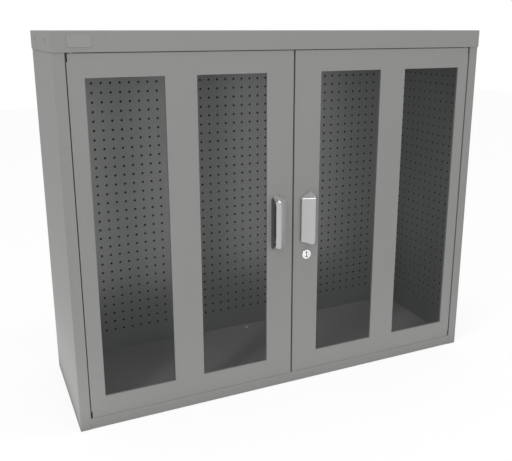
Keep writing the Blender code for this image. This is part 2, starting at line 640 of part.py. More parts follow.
def build_handle(door, side, word):
    """Cast hood: a sloped face up to a crest, then a lip that turns back down over the fingers."""
    outer = [(HANDLE_INNER, HANDLE_INNER_RISE), (HANDLE_CREST, HANDLE_RISE),
             (HANDLE_OUTER, HANDLE_OUTER_RISE)]
    section = folded(outer, -HANDLE_WALL)
    mesh = bmesh.new()
    rings = []
    for height, width, rise in handle_sections():
        ring = []
        for across, out in section:
            x = DOOR_INNER + HANDLE_TIP_CENTRE + (across - HANDLE_TIP_CENTRE) * width
            depth = -(FIT + (out - FIT) * rise)
            ring.append(mesh.verts.new((side * x, FRONT + depth, height)))
        rings.append(ring)
    count = len(section)
    for low, high in zip(rings, rings[1:]):
        for i in range(count):
            mesh.faces.new((low[i], low[(i + 1) % count], high[(i + 1) % count], high[i]))
    mesh.faces.new(rings[0][::-1])
    mesh.faces.new(rings[-1])
    bmesh.ops.recalc_face_normals(mesh, faces=mesh.faces[:])
    x = side * (DOOR_INNER + BOSS_FROM_EDGE)
    bosses = []
    holes = []
    for index, height in enumerate(boss_heights()):
        bosses.append(rod(BOSS_RADIUS, -BOSS_HEIGHT, -FIT, (x, 0.0, height), "Y", 16))
        holes.append(rod(SCREW_RADIUS + FIT, -BOSS_HOLE_DEPTH, SHEET, (x, 0.0, height), "Y", 16))
        head = SHEET + FIT
        steps = [(SCREW_RADIUS, -BOSS_HOLE_DEPTH + 2 * FIT), (SCREW_RADIUS, head)]
        steps += domed_head(SCREW_HEAD_RADIUS, SCREW_HEAD, head, 1)
        name = f"{word}_handle_screw_{('lower', 'upper')[index]}"
        rounded(door.add(name, solid_turned(steps, (x, 0.0, height), "Y", 16), ZINC))
    door.add(f"{word}_handle", mesh, SILVER_PAINT, holes, bosses)


def build_bolt(door, bolt):
    """Slide bolt of the left door and the guide that carries it."""
    x = -BOLT_FROM_CENTRE
    centre = (x, BOLT_SETBACK, 0.0)
    guide = box((x - GUIDE_WIDTH / 2, x + GUIDE_WIDTH / 2), (SHEET + FIT, BOLT_SETBACK + 2 * BOLT_RADIUS),
                (GUIDE_LOW, GUIDE_HIGH))
    drill = rod(BOLT_RADIUS + FIT, GUIDE_LOW - SHEET, GUIDE_HIGH + SHEET, centre, "Z", 16)
    door.add("bolt_guide", guide, ZINC, [drill])
    top = DOOR_HIGH - FIT
    grip_high = GUIDE_LOW - BOLT_STROKE - BOLT_SPARE
    grip_low = grip_high - BOLT_GRIP_LENGTH
    steps = [(BOLT_RADIUS, grip_low - BOLT_TAIL), (BOLT_RADIUS, grip_low), (BOLT_GRIP_RADIUS, grip_low),
             (BOLT_GRIP_RADIUS, grip_high), (BOLT_RADIUS, grip_high), (BOLT_RADIUS, top)]
    rounded(bolt.add("slide_bolt", solid_turned(steps, centre, "Z", 16), ZINC))


def build_lock(door, core):
    """Cam lock: housing and nut on the door, and the plug, cam and screw that turn with the key."""
    centre = (LOCK_X, 0.0, LOCK_Z)
    bore = LOCK_PLUG_RADIUS + FIT
    profile = [(bore, -LOCK_FACE), (LOCK_FACE_RADIUS - LOCK_RIM, -LOCK_FACE),
               (LOCK_FACE_RADIUS, LOCK_RIM - LOCK_FACE), (LOCK_FACE_RADIUS, -FIT), (LOCK_BODY_RADIUS, -FIT),
               (LOCK_BODY_RADIUS, LOCK_BODY_LENGTH), (bore, LOCK_BODY_LENGTH)]
    rounded(door.add("lock_housing", turned(profile, centre, "Y", 32), CHROME))
    nut_front = SHEET + FIT
    nut = bmesh.new()
    bmesh.ops.create_cone(nut, cap_ends=True, segments=6, radius1=NUT_FLATS / math.sqrt(3),
                          radius2=NUT_FLATS / math.sqrt(3), depth=NUT_THICKNESS)
    bmesh.ops.rotate(nut, verts=nut.verts[:], cent=(0, 0, 0), matrix=Matrix.Rotation(math.pi / 2, 3, "X"))
    nut_middle = (LOCK_X, FRONT + nut_front + NUT_THICKNESS / 2, LOCK_Z)
    bmesh.ops.translate(nut, verts=nut.verts[:], vec=nut_middle)
    drill = rod(LOCK_BODY_RADIUS + FIT, 0.0, nut_front + 2 * NUT_THICKNESS, centre, "Y", 32)
    door.add("lock_nut", nut, ZINC, [drill])
    plug_back = CAM_FRONT - FIT
    plug = rod(LOCK_PLUG_RADIUS, -LOCK_PLUG_PROUD, plug_back, centre, "Y")
    slot = box((LOCK_X - KEYHOLE_SLOT_WIDTH / 2, LOCK_X + KEYHOLE_SLOT_WIDTH / 2),
               (-LOCK_PLUG_PROUD - FIT, KEYHOLE_SLOT_DEPTH - LOCK_PLUG_PROUD),
               (LOCK_Z - KEYHOLE_SLOT_HEIGHT / 2, LOCK_Z + KEYHOLE_SLOT_HEIGHT / 2))
    screw_tip = CAM_FRONT + CAM_SHEET - CAM_SCREW_LENGTH
    tapped = rod(CAM_SCREW_RADIUS + FIT, screw_tip - FIT, plug_back + FIT, centre, "Y", 16)
    rounded(core.add("lock_plug", plug, CHROME, [slot, tapped]))
    outline = [(LOCK_X - CAM_ROOT_WIDTH / 2, LOCK_Z + CAM_ROOT_WIDTH / 2),
               (LOCK_X - CAM_ROOT_WIDTH / 2, LOCK_Z - CAM_ROOT_WIDTH / 2),
               (LOCK_X - CAM_TIP_WIDTH / 2, LOCK_Z - CAM_REACH),
               (LOCK_X + CAM_TIP_WIDTH / 2, LOCK_Z - CAM_REACH),
               (LOCK_X + CAM_ROOT_WIDTH / 2, LOCK_Z - CAM_ROOT_WIDTH / 2),
               (LOCK_X + CAM_ROOT_WIDTH / 2, LOCK_Z + CAM_ROOT_WIDTH / 2)]
    cam_back = CAM_FRONT + CAM_SHEET
    hole = rod(CAM_SCREW_RADIUS + FIT, CAM_FRONT - CAM_SHEET, cam_back + CAM_SHEET, centre, "Y", 16)
    core.add("lock_cam", prism(outline, "Y", CAM_FRONT, cam_back), ZINC, [hole])
    head = cam_back + FIT
    steps = [(CAM_SCREW_RADIUS, screw_tip + FIT), (CAM_SCREW_RADIUS, head)]
    steps += domed_head(CAM_SCREW_HEAD_RADIUS, SCREW_HEAD, head, 1)
    rounded(core.add("cam_screw", solid_turned(steps, centre, "Y", 16), ZINC))


def main():
    """Build every piece on its body."""
    cabinet = Body("cabinet")
    doors = {side: Body(f"{word}_door", (side * HINGE_X, FRONT + HINGE_SETBACK, 0.0))
             for side, word in SIDE_WORDS.items()}
    core = Body("lock_core", (LOCK_X, FRONT, LOCK_Z))
    bolt = Body("bolt", (-BOLT_FROM_CENTRE, FRONT + BOLT_SETBACK, DOOR_HIGH))
    core.anchor.parent = doors[RIGHT].anchor
    core.anchor.matrix_parent_inverse = Matrix.Translation(-doors[RIGHT].pivot)
    bolt.anchor.parent = doors[LEFT].anchor
    bolt.anchor.matrix_parent_inverse = Matrix.Translation(-doors[LEFT].pivot)
    for side, word in SIDE_WORDS.items():
        build_side_panel(cabinet, side, f"{word}_side_panel")
    build_bottom_pan(cabinet)
    build_header(cabinet)
    build_back_panel(cabinet)
    build_cap(cabinet)
    build_liners(cabinet)
    build_hinges(cabinet, doors)
    build_catches(cabinet)
    for side, word in SIDE_WORDS.items():
        build_door(doors[side], side, word)
        build_handle(doors[side], side, word)
    build_bolt(doors[LEFT], bolt)
    build_lock(doors[RIGHT], core)


main()
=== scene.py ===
"""Looks of a grey steel wall cabinet with two windowed doors and pegboard liners.

Metres, +Z up, the doors towards -Y. Every size that another piece shares is read from the
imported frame. Folded sheet is built from a grid of planes whose outer shells are then bent
round, pegboards are grids with a ring of faces at each hole, and round pieces are turned.
"""

import json
import logging
import math
from dataclasses import dataclass, field, replace
from enum import Enum
from functools import cache

import bmesh
import bpy
import numpy as np
from mathutils import Matrix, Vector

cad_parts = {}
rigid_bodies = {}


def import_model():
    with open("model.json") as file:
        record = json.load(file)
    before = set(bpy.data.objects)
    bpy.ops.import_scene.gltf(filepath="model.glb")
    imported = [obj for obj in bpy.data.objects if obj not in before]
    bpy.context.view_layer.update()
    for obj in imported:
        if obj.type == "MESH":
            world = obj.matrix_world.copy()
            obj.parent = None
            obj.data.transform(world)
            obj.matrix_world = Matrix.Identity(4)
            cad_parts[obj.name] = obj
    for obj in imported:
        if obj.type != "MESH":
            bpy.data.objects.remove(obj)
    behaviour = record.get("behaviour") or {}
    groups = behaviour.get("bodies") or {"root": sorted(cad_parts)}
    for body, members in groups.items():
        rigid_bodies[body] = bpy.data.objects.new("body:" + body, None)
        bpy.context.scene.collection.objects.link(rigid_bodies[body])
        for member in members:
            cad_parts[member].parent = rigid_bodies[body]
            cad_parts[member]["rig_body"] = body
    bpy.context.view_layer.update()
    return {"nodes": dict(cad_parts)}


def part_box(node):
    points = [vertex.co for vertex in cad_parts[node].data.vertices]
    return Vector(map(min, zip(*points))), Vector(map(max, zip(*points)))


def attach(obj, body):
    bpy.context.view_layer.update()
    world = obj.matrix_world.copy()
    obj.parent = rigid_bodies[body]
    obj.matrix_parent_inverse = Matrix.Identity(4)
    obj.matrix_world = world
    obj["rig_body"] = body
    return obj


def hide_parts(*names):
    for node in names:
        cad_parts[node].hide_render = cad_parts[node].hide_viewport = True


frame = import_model()

Array = np.ndarray
Colour = tuple[float, float, float]
Place = tuple[float, float, float]
Node = bpy.types.Node
Tree = bpy.types.NodeTree
SHEET = 0.0012
PITCH = 0.0254
EDGE = 0.0003
FINE_EDGE = 0.0002
EASED_TURN = math.radians(50.0)
SHARP_TURN = math.radians(32.0)
EASED_STEPS = 2
FOLD_STEPS = 4
BAR_STEPS = 24
GRAIN = 1e-7
DECIMALS = 7
WELD_REACH = 1e-5
WHITE = (1.0, 1.0, 1.0, 1.0)
log = logging.getLogger("cabinet")


class Side(Enum):
    """Which half of the cabinet a piece belongs to, as the sign of its X."""

    LEFT = -1
    RIGHT = 1

    @property
    def word(self) -> str:
        """The word that the frame's names use for this side."""
        return self.name.lower()

    def outer_first(self, low: Array, high: Array) -> tuple[Array, Array]:
        """Two things that are given from left to right, with this side's outer one first."""
        return (low, high) if self is Side.LEFT else (high, low)


class End(Enum):
    """Which end of a door or a liner a piece is at, in the frame's own word."""

    LOWER = "lower"
    UPPER = "upper"


class Pane(Enum):
    """Which window of a door it is, where the inner one is nearer to the other door."""

    INNER = "inner"
    OUTER = "outer"


class Axis(Enum):
    """An axis of the frame, as the column that holds it."""

    X = 0
    Y = 1
    Z = 2


class Socket(Enum):
    """What a socket of a node group carries."""

    FLOAT = "NodeSocketFloat"
    VECTOR = "NodeSocketVector"
    COLOUR = "NodeSocketColor"
    GEOMETRY = "NodeSocketGeometry"


@dataclass
class Skin:
    """Points and faces of a closed surface.

    Args:
        points: One row of three coordinates for each point.
        faces: Arrays of faces, one for each number of corners, wound alike.
    """

    points: Array
    faces: list[Array]

    def volume(self) -> float:
        """Add up the signed volumes of the tetrahedra between the faces and the origin.

        Returns:
            The volume, which is negative where the faces look inwards.
        """
        total = 0.0
        for face in self.faces:
            for step in range(1, face.shape[1] - 1):
                a, b, c = (self.points[face[:, i]] for i in (0, step, step + 1))
                total += float(np.einsum("ij,ij->", a, np.cross(b, c))) / 6.0
        return total

    def outward(self) -> "Skin":
        """Turn the faces round if they look inwards.

        Returns:
            The same surface with its faces looking outwards.
        """
        if self.volume() >= 0.0:
            return self
        return Skin(self.points, [face[:, ::-1] for face in self.faces])

    def welded(self, grain: float = GRAIN) -> "Skin":
        """Merge points that share a place, and turn quads that lost a side into triangles.

        Args:
            grain: Points are the same if their coordinates round to the same multiple of this.

        Returns:
            The surface without doubled points or collapsed faces.
        """
        keys = np.round(self.points / grain).astype(np.int64)
        _, first, inverse = np.unique(keys, axis=0, return_index=True, return_inverse=True)
        faces = []
        for face in self.faces:
            mapped = inverse.ravel()[face]
            doubled = mapped == np.roll(mapped, -1, axis=1)
            lost = doubled.sum(axis=1)
            faces.append(mapped[lost == 0])
            if face.shape[1] == 4:
                faces.append(mapped[lost == 1][~doubled[lost == 1]].reshape(-1, 3))
        return Skin(self.points[first], [face for face in faces if len(face)])


def joined(skins: list[Skin]) -> Skin:
    """One surface that holds several.

    Args:
        skins: The surfaces.

    Returns:
        All their points and faces, in order.
    """
    starts = np.cumsum([0] + [len(skin.points) for skin in skins[:-1]])
    faces = [face + start for skin, start in zip(skins, starts) for face in skin.faces]
    return Skin(np.concatenate([skin.points for skin in skins]), faces)


def corners_of(node: str) -> tuple[Array, Array]:
    """Lowest and highest corner of a node of the frame."""
    low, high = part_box(node)
    return np.array(low), np.array(high)


def centre_of(node: str, axis: Axis, at: float) -> Array:
    """Middle of a node's box, moved along one axis.

    Args:
        node: Name of the node.
        axis: The axis along which the middle is moved.
        at: Where it is moved to.

    Returns:
        The moved middle.
    """
    centre = sum(corners_of(node)) / 2
    centre[axis.value] = at
    return centre


def inside(cells: list[Array], low: Array, high: Array) -> Array:
    """Which cells have their middle in a box, whose sides may lie at infinity."""
    return np.all([(at > a) & (at < b) for at, a, b in zip(cells, low, high)], axis=0)


def planes(low: float, high: float, radius: float, wall: float,
           between: tuple[float, ...] = ()) -> Array:
    """Planes across a folded piece along one axis.

    Near each end the planes stand at radius * (1 - tan(turn)) for turns from 0 to 45 degrees,
    so that bending them round gives even steps. One more stands at the inner side of the wall.

    Args:
        low: First plane.
        high: Last plane.
        radius: Outer radius of the folds at the ends, 0 where the ends are cut edges.
        wall: Thickness of the walls at the ends, 0 for none.
        between: Further planes.

    Returns:
        The sorted positions of the planes.
    """
    turns = np.radians(np.linspace(0.0, 45.0, FOLD_STEPS if radius else 1))
    near = np.append(radius * (1.0 - np.tan(turns)), (0.0, wall))
    lines = np.concatenate([low + near, high - near, np.array(between, float)])
    return np.unique(np.round(lines, DECIMALS))


def cell_skin(lines: list[Array], filled: Array) -> Skin:
    """The boundary of the filled cells between three sets of planes.

    A quad stands wherever a filled cell meets an empty one, and it looks at the empty one.

    Args:
        lines: Positions of the planes along X, Y and Z.
        filled: For each cell between the planes, whether it is material.

    Returns:
        The closed surface round the material.
    """
    counts = [len(line) for line in lines]
    padded = np.pad(filled.astype(np.int8), 1)
    quads = []
    for axis in range(3):
        inner = [slice(1, -1)] * 3
        inner[axis] = slice(None)
        step = np.diff(padded, axis=axis)[tuple(inner)]
        across, along = np.roll(np.eye(3, dtype=int), -axis - 1, axis=0)[:2]
        for sign, order in ((-1, (0, 1, 2, 3)), (1, (3, 2, 1, 0))):
            cell = np.argwhere(step == sign)
            ring = np.stack([cell, cell + across, cell + across + along, cell + along], axis=1)
            quads.append(np.ravel_multi_index(tuple(np.moveaxis(ring, -1, 0)), counts)[:, order])
    quads = np.concatenate(quads)
    used, renamed = np.unique(quads, return_inverse=True)
    index = np.unravel_index(used, counts)
    points = np.stack([line[i] for line, i in zip(lines, index)], axis=1)
    return Skin(points, [renamed.reshape(quads.shape)])


def bent_round(points: Array, low: Array, high: Array, radius: float, cut_ends: str) -> Array:
    """Bend the shells of a box round its edges.

    Each point is compared with the box shrunk by the radius. Its offset from that core keeps its
    largest coordinate as its length, so square shells become round ones, and sheets keep their
    thickness round the folds.

    Args:
        points: Points to move.
        low: Lowest corner of the box.
        high: Highest corner of the box.
        radius: Outer radius of the folds.
        cut_ends: Ends that are cut edges and not folds, such as "-z +z".

    Returns:
        The moved points.
    """
    core_low, core_high = low + radius, high - radius
    for end in cut_ends.split():
        axis = Axis[end[1].upper()].value
        (core_low if end[0] == "-" else core_high)[axis] = -np.inf if end[0] == "-" else np.inf
    core = np.clip(points, core_low, core_high)
    offset = points - core
    length = np.linalg.norm(offset, axis=1, keepdims=True)
    reach = np.abs(offset).max(axis=1, keepdims=True)
    share = np.divide(reach, length, out=np.ones_like(reach), where=length > 1e-9)
    return core + offset * share


def quads_of(*corners: Array) -> Array:
    """Quads from four arrays of one shape, which hold the first to the fourth corners."""
    return np.stack(corners, axis=-1).reshape(-1, 4)


def ring_quads(rings: int, steps: int, closed: bool = False) -> Array:
    """Quads between neighbouring rings, whose points are numbered ring by ring.

    Args:
        rings: Number of rings.
        steps: Number of points in a ring, the last of which joins the first.
        closed: Whether the last ring joins the first too.

    Returns:
        One row of four point numbers for each quad.
    """
    i, j = np.meshgrid(np.arange(rings if closed else rings - 1), np.arange(steps), indexing="ij")
    after, beside = (i + 1) % rings, (j + 1) % steps
    return quads_of(i * steps + j, i * steps + beside, after * steps + beside, after * steps + j)


def lathe(profile: list[tuple[float, float]], centre: Array, axis: Axis, steps: int) -> Skin:
    """Turn a profile about an axis.

    A point of the profile (r, a) goes to a along the axis and r times (cos, sin) across it. A
    profile whose ends lie on the axis closes there, and any other is taken as a closed loop.

    Args:
        profile: Radius and distance along the axis of each point.
        centre: A point on the axis, from which the distances run.
        axis: The axis of the turning.
        steps: Number of steps round.

    Returns:
        The closed surface of revolution.
    """
    outline = np.array(profile, float)
    turn = np.linspace(0.0, math.tau, steps, endpoint=False)
    points = np.zeros((len(outline), steps, 3))
    points[..., axis.value] = outline[:, 1, None]
    points[..., (axis.value + 1) % 3] = outline[:, 0, None] * np.cos(turn)
    points[..., (axis.value + 2) % 3] = outline[:, 0, None] * np.sin(turn)
    loop = bool(outline[0, 0] or outline[-1, 0])
    quads = ring_quads(len(outline), steps, loop)
    return Skin(points.reshape(-1, 3) + centre, [quads]).welded().outward()


def bar(radius: float, centre: Array, axis: Axis, reach: float) -> Skin:
    """A round bar that reaches both ways from its centre."""
    profile = [(0.0, -reach), (radius, -reach), (radius, reach), (0.0, reach)]
    return lathe(profile, centre, axis, BAR_STEPS)


def tube(rows: list[Array]) -> Skin:
    """A closed bar whose section has one corner on each row, with flat ends.

    Args:
        rows: Arrays of points along the bar, one for each corner of the section, in order round it.

    Returns:
        The closed surface through the rows.
    """
    points = np.stack(rows, axis=1)
    length, count = points.shape[:2]
    end = np.arange(count)[None, :]
    faces = [ring_quads(length, count), end[:, ::-1], end + (length - 1) * count]
    return Skin(points.reshape(-1, 3), faces).outward()


def wrapped(points: Array) -> Skin:
    """Wrap a set of points as a stretched film would.

    Args:
        points: The points, one row each.

    Returns:
        The triangles of their convex hull.
    """
    mesh = bmesh.new()
    corners = [mesh.verts.new(point) for point in points.tolist()]
    bmesh.ops.convex_hull(mesh, input=corners)
    mesh.verts.index_update()
    faces = np.array([[corner.index for corner in face.verts] for face in mesh.faces])
    mesh.free()
    return Skin(np.array(points), [faces]).outward()


# Pieces


def linked(name: str, data: bpy.types.ID) -> bpy.types.Object:
    """Put a mesh, a lamp or a camera into the scene, at the origin.

    Args:
        name: Name of the object.
        data: What the object shows.

    Returns:
        The object.
    """
    item = bpy.data.objects.new(name, data)
    bpy.context.scene.collection.objects.link(item)
    return item


def mesh_of(name: str, skin: Skin) -> bpy.types.Mesh:
    """Put a surface into a mesh.

    Args:
        name: Name of the mesh.
        skin: The surface.

    Returns:
        The mesh, without materials.
    """
    corners = np.concatenate([face.ravel() for face in skin.faces])
    totals = np.concatenate([np.full(len(face), face.shape[1]) for face in skin.faces])
    mesh = bpy.data.meshes.new(name)
    mesh.vertices.add(len(skin.points))
    mesh.vertices.foreach_set("co", skin.points.ravel())
    mesh.loops.add(len(corners))
    mesh.loops.foreach_set("vertex_index", corners.astype(np.int32))
    mesh.polygons.add(len(totals))
    mesh.polygons.foreach_set("loop_start", (np.cumsum(totals) - totals).astype(np.int32))
    mesh.update(calc_edges=True)
    mesh.validate()
    return mesh


def piece_of(name: str, skin: Skin) -> bpy.types.Object:
    """Make an object of a surface, at the origin, with its place in its mesh."""
    return linked(name, mesh_of(name, skin))


def add_to(piece: bpy.types.Object, skin: Skin) -> None:
    """Put a further closed surface into a piece's mesh.

    Args:
        piece: The piece.
        skin: The surface.
    """
    points = np.zeros(3 * len(piece.data.vertices))
    piece.data.vertices.foreach_get("co", points)
    faces = [np.array([face.vertices[:]]) for face in piece.data.polygons]
    piece.data = mesh_of(piece.name, joined([Skin(points.reshape(-1, 3), faces), skin]))


def drill(piece: bpy.types.Object, cutters: list[Skin]) -> None:
    """Cut closed shapes out of a piece's mesh for good, with its modifiers applied first.

    Args:
        piece: The piece.
        cutters: The shapes, which don't touch each other.
    """
    tool = piece_of(piece.name + "_cutter", joined(cutters))
    cut = piece.modifiers.new("drill", "BOOLEAN")
    cut.operation = "DIFFERENCE"
    cut.object = tool
    bpy.context.view_layer.update()
    view = piece.evaluated_get(bpy.context.evaluated_depsgraph_get())
    drilled = bpy.data.meshes.new_from_object(view)
    piece.modifiers.clear()
    piece.data = drilled
    bpy.data.objects.remove(tool)


def bevel(piece: bpy.types.Object, width: float, turn: float, segments: int) -> None:
    """Round a piece's sharp edges.

    Args:
        piece: The piece.
        width: Width of the rounding.
        turn: Edges that turn by more than this angle are rounded.
        segments: Steps across the rounding.
    """
    rounding = piece.modifiers.new("round edges", "BEVEL")
    rounding.limit_method = "ANGLE"
    rounding.angle_limit = turn
    rounding.width = width
    rounding.segments = segments


def shade(piece: bpy.types.Object, edge: float = 0.0) -> None:
    """Ease a piece's edges, shade it smooth between them and keep its large flat faces flat.

    Args:
        piece: The piece.
        edge: Width of the rounding at its sharp edges, 0 for none.
    """
    if edge:
        bevel(piece, edge, EASED_TURN, EASED_STEPS)
    piece.modifiers.new("smooth", "NODES").node_group = smooth_by_angle()
    piece.modifiers.new("flat faces", "WEIGHTED_NORMAL").keep_sharp = True


def dress(piece: bpy.types.Object, finish: "Finish") -> None:
    """Give a piece one finish all over."""
    piece.data.materials.clear()
    piece.data.materials.append(finish.material())


def fit(piece: bpy.types.Object, node: str, finish: "Finish") -> None:
    """Dress a new piece, and let it stand for its node of the frame and move with it.

    Args:
        piece: The piece.
        node: Name of the node.
        finish: Its finish.
    """
    dress(piece, finish)
    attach(piece, frame["nodes"][node]["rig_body"])
    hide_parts(node)
    log.info("%s stands for %s", piece.name, node)


def finished(name: str, skin: Skin, node: str, finish: "Finish",
             cutters: list[Skin] | None = None, edge: float = 0.0) -> None:
    """Make a piece of a surface, drill and shade it, and let it stand for its node.

    Args:
        name: Name of the piece.
        skin: Its surface.
        node: The node of the frame that it stands for.
        finish: Its finish.
        cutters: Shapes to cut out of it.
        edge: Width of the rounding at its sharp edges, 0 for none.
    """
    piece = piece_of(name, skin)
    if cutters:
        drill(piece, cutters)
    shade(piece, edge)
    fit(piece, node, finish)


def dress_node(node: str, finish: "Finish", edge: float = EDGE) -> None:
    """Keep a node of the frame, with eased edges and a finish.

    Args:
        node: Name of the node.
        finish: Its finish.
        edge: Width of the rounding at its sharp edges.
    """
    piece = frame["nodes"][node]
    piece.modifiers.new("shared edges", "WELD").merge_threshold = WELD_REACH
    shade(piece, edge)
    dress(piece, finish)
    log.info("%s keeps its own shape", node)


# Node groups


def set_inputs(node: Node, constants: dict[str | int, object]) -> None:
    """Give inputs of a node their values, by name or number."""
    for socket, value in constants.items():
        node.inputs[socket].default_value = value


def add_node(tree: Tree, kind: str, operation: str = "",
             constants: dict[str | int, object] | None = None) -> Node:
    """Add a node to a tree.

    Args:
        tree: The tree.
        kind: Type of the node.
        operation: What it does, for a node that has a choice.
        constants: Values of its inputs, by name or number.

    Returns:
        The node.
    """
    node = tree.nodes.new(kind)
    if operation:
        node.operation = operation
    set_inputs(node, constants or {})
    return node


def add_group(tree: Tree, group: Tree, constants: dict[str | int, object]) -> Node:
    """Place a node group in a material.

    Args:
        tree: The material's nodes.
        group: The group.
        constants: Values of its inputs here.

    Returns:
        The node that stands for the group.
    """
    node = tree.nodes.new("ShaderNodeGroup")
    node.node_tree = group
    set_inputs(node, constants)
    return node


def add_range(tree: Tree, low: float, high: float) -> Node:
    """Add a node that carries zero to one over to another range."""
    return add_node(tree, "ShaderNodeMapRange", constants={"To Min": low, "To Max": high})


def wire(tree: Tree, *links: tuple[Node, str | int, Node, str | int]) -> None:
    """Link outputs to inputs, each link given as node, output, node and input."""
    for source, out, target, into in links:
        tree.links.new(source.outputs[out], target.inputs[into])


def group_with(name: str, inputs: dict[str, tuple[Socket, object]], outputs: dict[str, Socket],
               kind: str = "ShaderNodeTree") -> tuple[Tree, Node, Node]:
    """Start a node group with named sockets.

    Args:
        name: Name of the group.
        inputs: For each input what it carries and its value, None for geometry.
        outputs: For each output what it carries.
        kind: Type of the group.

    Returns:
        The group, its input node and its output node.
    """
    tree = bpy.data.node_groups.new(name, kind)
    for label, (carried, value) in inputs.items():
        socket = tree.interface.new_socket(label, in_out="INPUT", socket_type=carried.value)
        if value is not None:
            socket.default_value = value
    for label, carried in outputs.items():
        tree.interface.new_socket(label, in_out="OUTPUT", socket_type=carried.value)
    return tree, add_node(tree, "NodeGroupInput"), add_node(tree, "NodeGroupOutput")


@cache
def smooth_by_angle() -> Tree:
    """Shade a mesh smooth, apart from edges sharper than an angle.

    Returns:
        The group, which a modifier places.
    """
    tree, start, end = group_with(
        "smooth_by_angle",
        {"Geometry": (Socket.GEOMETRY, None), "Angle": (Socket.FLOAT, SHARP_TURN)},
        {"Geometry": Socket.GEOMETRY}, "GeometryNodeTree")
    faces = add_node(tree, "GeometryNodeSetShadeSmooth")
    faces.domain = "FACE"
    edges = add_node(tree, "GeometryNodeSetShadeSmooth", constants={"Shade Smooth": False})
    edges.domain = "EDGE"
    turn = add_node(tree, "GeometryNodeInputMeshEdgeAngle")
    sharper = add_node(tree, "FunctionNodeCompare", "GREATER_THAN")
    wire(tree, (start, "Geometry", faces, "Geometry"), (faces, "Geometry", edges, "Geometry"),
         (turn, "Unsigned Angle", sharper, "A"), (start, "Angle", sharper, "B"),
         (sharper, "Result", edges, "Selection"), (edges, "Geometry", end, "Geometry"))
    return tree


@cache
def orange_peel() -> Tree:
    """Sprayed and baked paint, with a fine rolling bump and faint clouds.

    The clouds multiply colour and roughness by 1 - c to 1 + c, where c is the input Clouds.

    Returns:
        The group.
    """
    tree, start, end = group_with(
        "orange_peel",
        {"Colour": (Socket.COLOUR, (0.3, 0.3, 0.3, 1.0)), "Clouds": (Socket.FLOAT, 0.03),
         "Roughness": (Socket.FLOAT, 0.45), "Peel Scale": (Socket.FLOAT, 700.0),
         "Peel Height": (Socket.FLOAT, 0.00002)},
        {"Colour": Socket.COLOUR, "Roughness": Socket.FLOAT, "Normal": Socket.VECTOR})
    place = add_node(tree, "ShaderNodeTexCoord")
    peel = add_node(tree, "ShaderNodeTexNoise", constants={"Detail": 1.5})
    cloud = add_node(tree, "ShaderNodeTexNoise", constants={"Scale": 9.0, "Detail": 4.0})
    bump = add_node(tree, "ShaderNodeBump")
    tint = add_node(tree, "ShaderNodeMapRange")
    least = add_node(tree, "ShaderNodeMath", "SUBTRACT", {0: 1.0})
    most = add_node(tree, "ShaderNodeMath", "ADD", {0: 1.0})
    tinted = add_node(tree, "ShaderNodeVectorMath", "SCALE")
    gloss = add_node(tree, "ShaderNodeMath", "MULTIPLY")
    wire(tree, (place, "Object", peel, "Vector"), (place, "Object", cloud, "Vector"),
         (start, "Peel Scale", peel, "Scale"), (start, "Peel Height", bump, "Distance"),
         (peel, "Fac", bump, "Height"), (start, "Clouds", least, 1), (start, "Clouds", most, 1),
         (cloud, "Fac", tint, "Value"), (least, "Value", tint, "To Min"),
         (most, "Value", tint, "To Max"), (start, "Colour", tinted, "Vector"),
         (tint, "Result", tinted, "Scale"), (start, "Roughness", gloss, 0),
         (tint, "Result", gloss, 1), (tinted, "Vector", end, "Colour"),
         (gloss, "Value", end, "Roughness"), (bump, "Normal", end, "Normal"))
    return tree


@cache
def fine_brushing() -> Tree:
    """Plated or polished metal, with scratches along one way in its gloss and its surface.

    Returns:
        The group.
    """
    tree, start, end = group_with(
        "fine_brushing",
        {"Stretch": (Socket.VECTOR, (2500.0, 2500.0, 120.0)),
         "Least Roughness": (Socket.FLOAT, 0.1), "Most Roughness": (Socket.FLOAT, 0.25),
         "Scratch Height": (Socket.FLOAT, 0.000005)},
        {"Roughness": Socket.FLOAT, "Normal": Socket.VECTOR})
    place = add_node(tree, "ShaderNodeTexCoord")
    spread = add_node(tree, "ShaderNodeVectorMath", "MULTIPLY")
    scratch = add_node(tree, "ShaderNodeTexNoise", constants={"Scale": 1.0, "Detail": 3.0})
    gloss = add_node(tree, "ShaderNodeMapRange")
    bump = add_node(tree, "ShaderNodeBump")
    wire(tree, (place, "Object", spread, 0), (start, "Stretch", spread, 1),
         (spread, "Vector", scratch, "Vector"), (scratch, "Fac", gloss, "Value"),
         (start, "Least Roughness", gloss, "To Min"), (start, "Most Roughness", gloss, "To Max"),
         (start, "Scratch Height", bump, "Distance"), (scratch, "Fac", bump, "Height"),
         (gloss, "Result", end, "Roughness"), (bump, "Normal", end, "Normal"))
    return tree


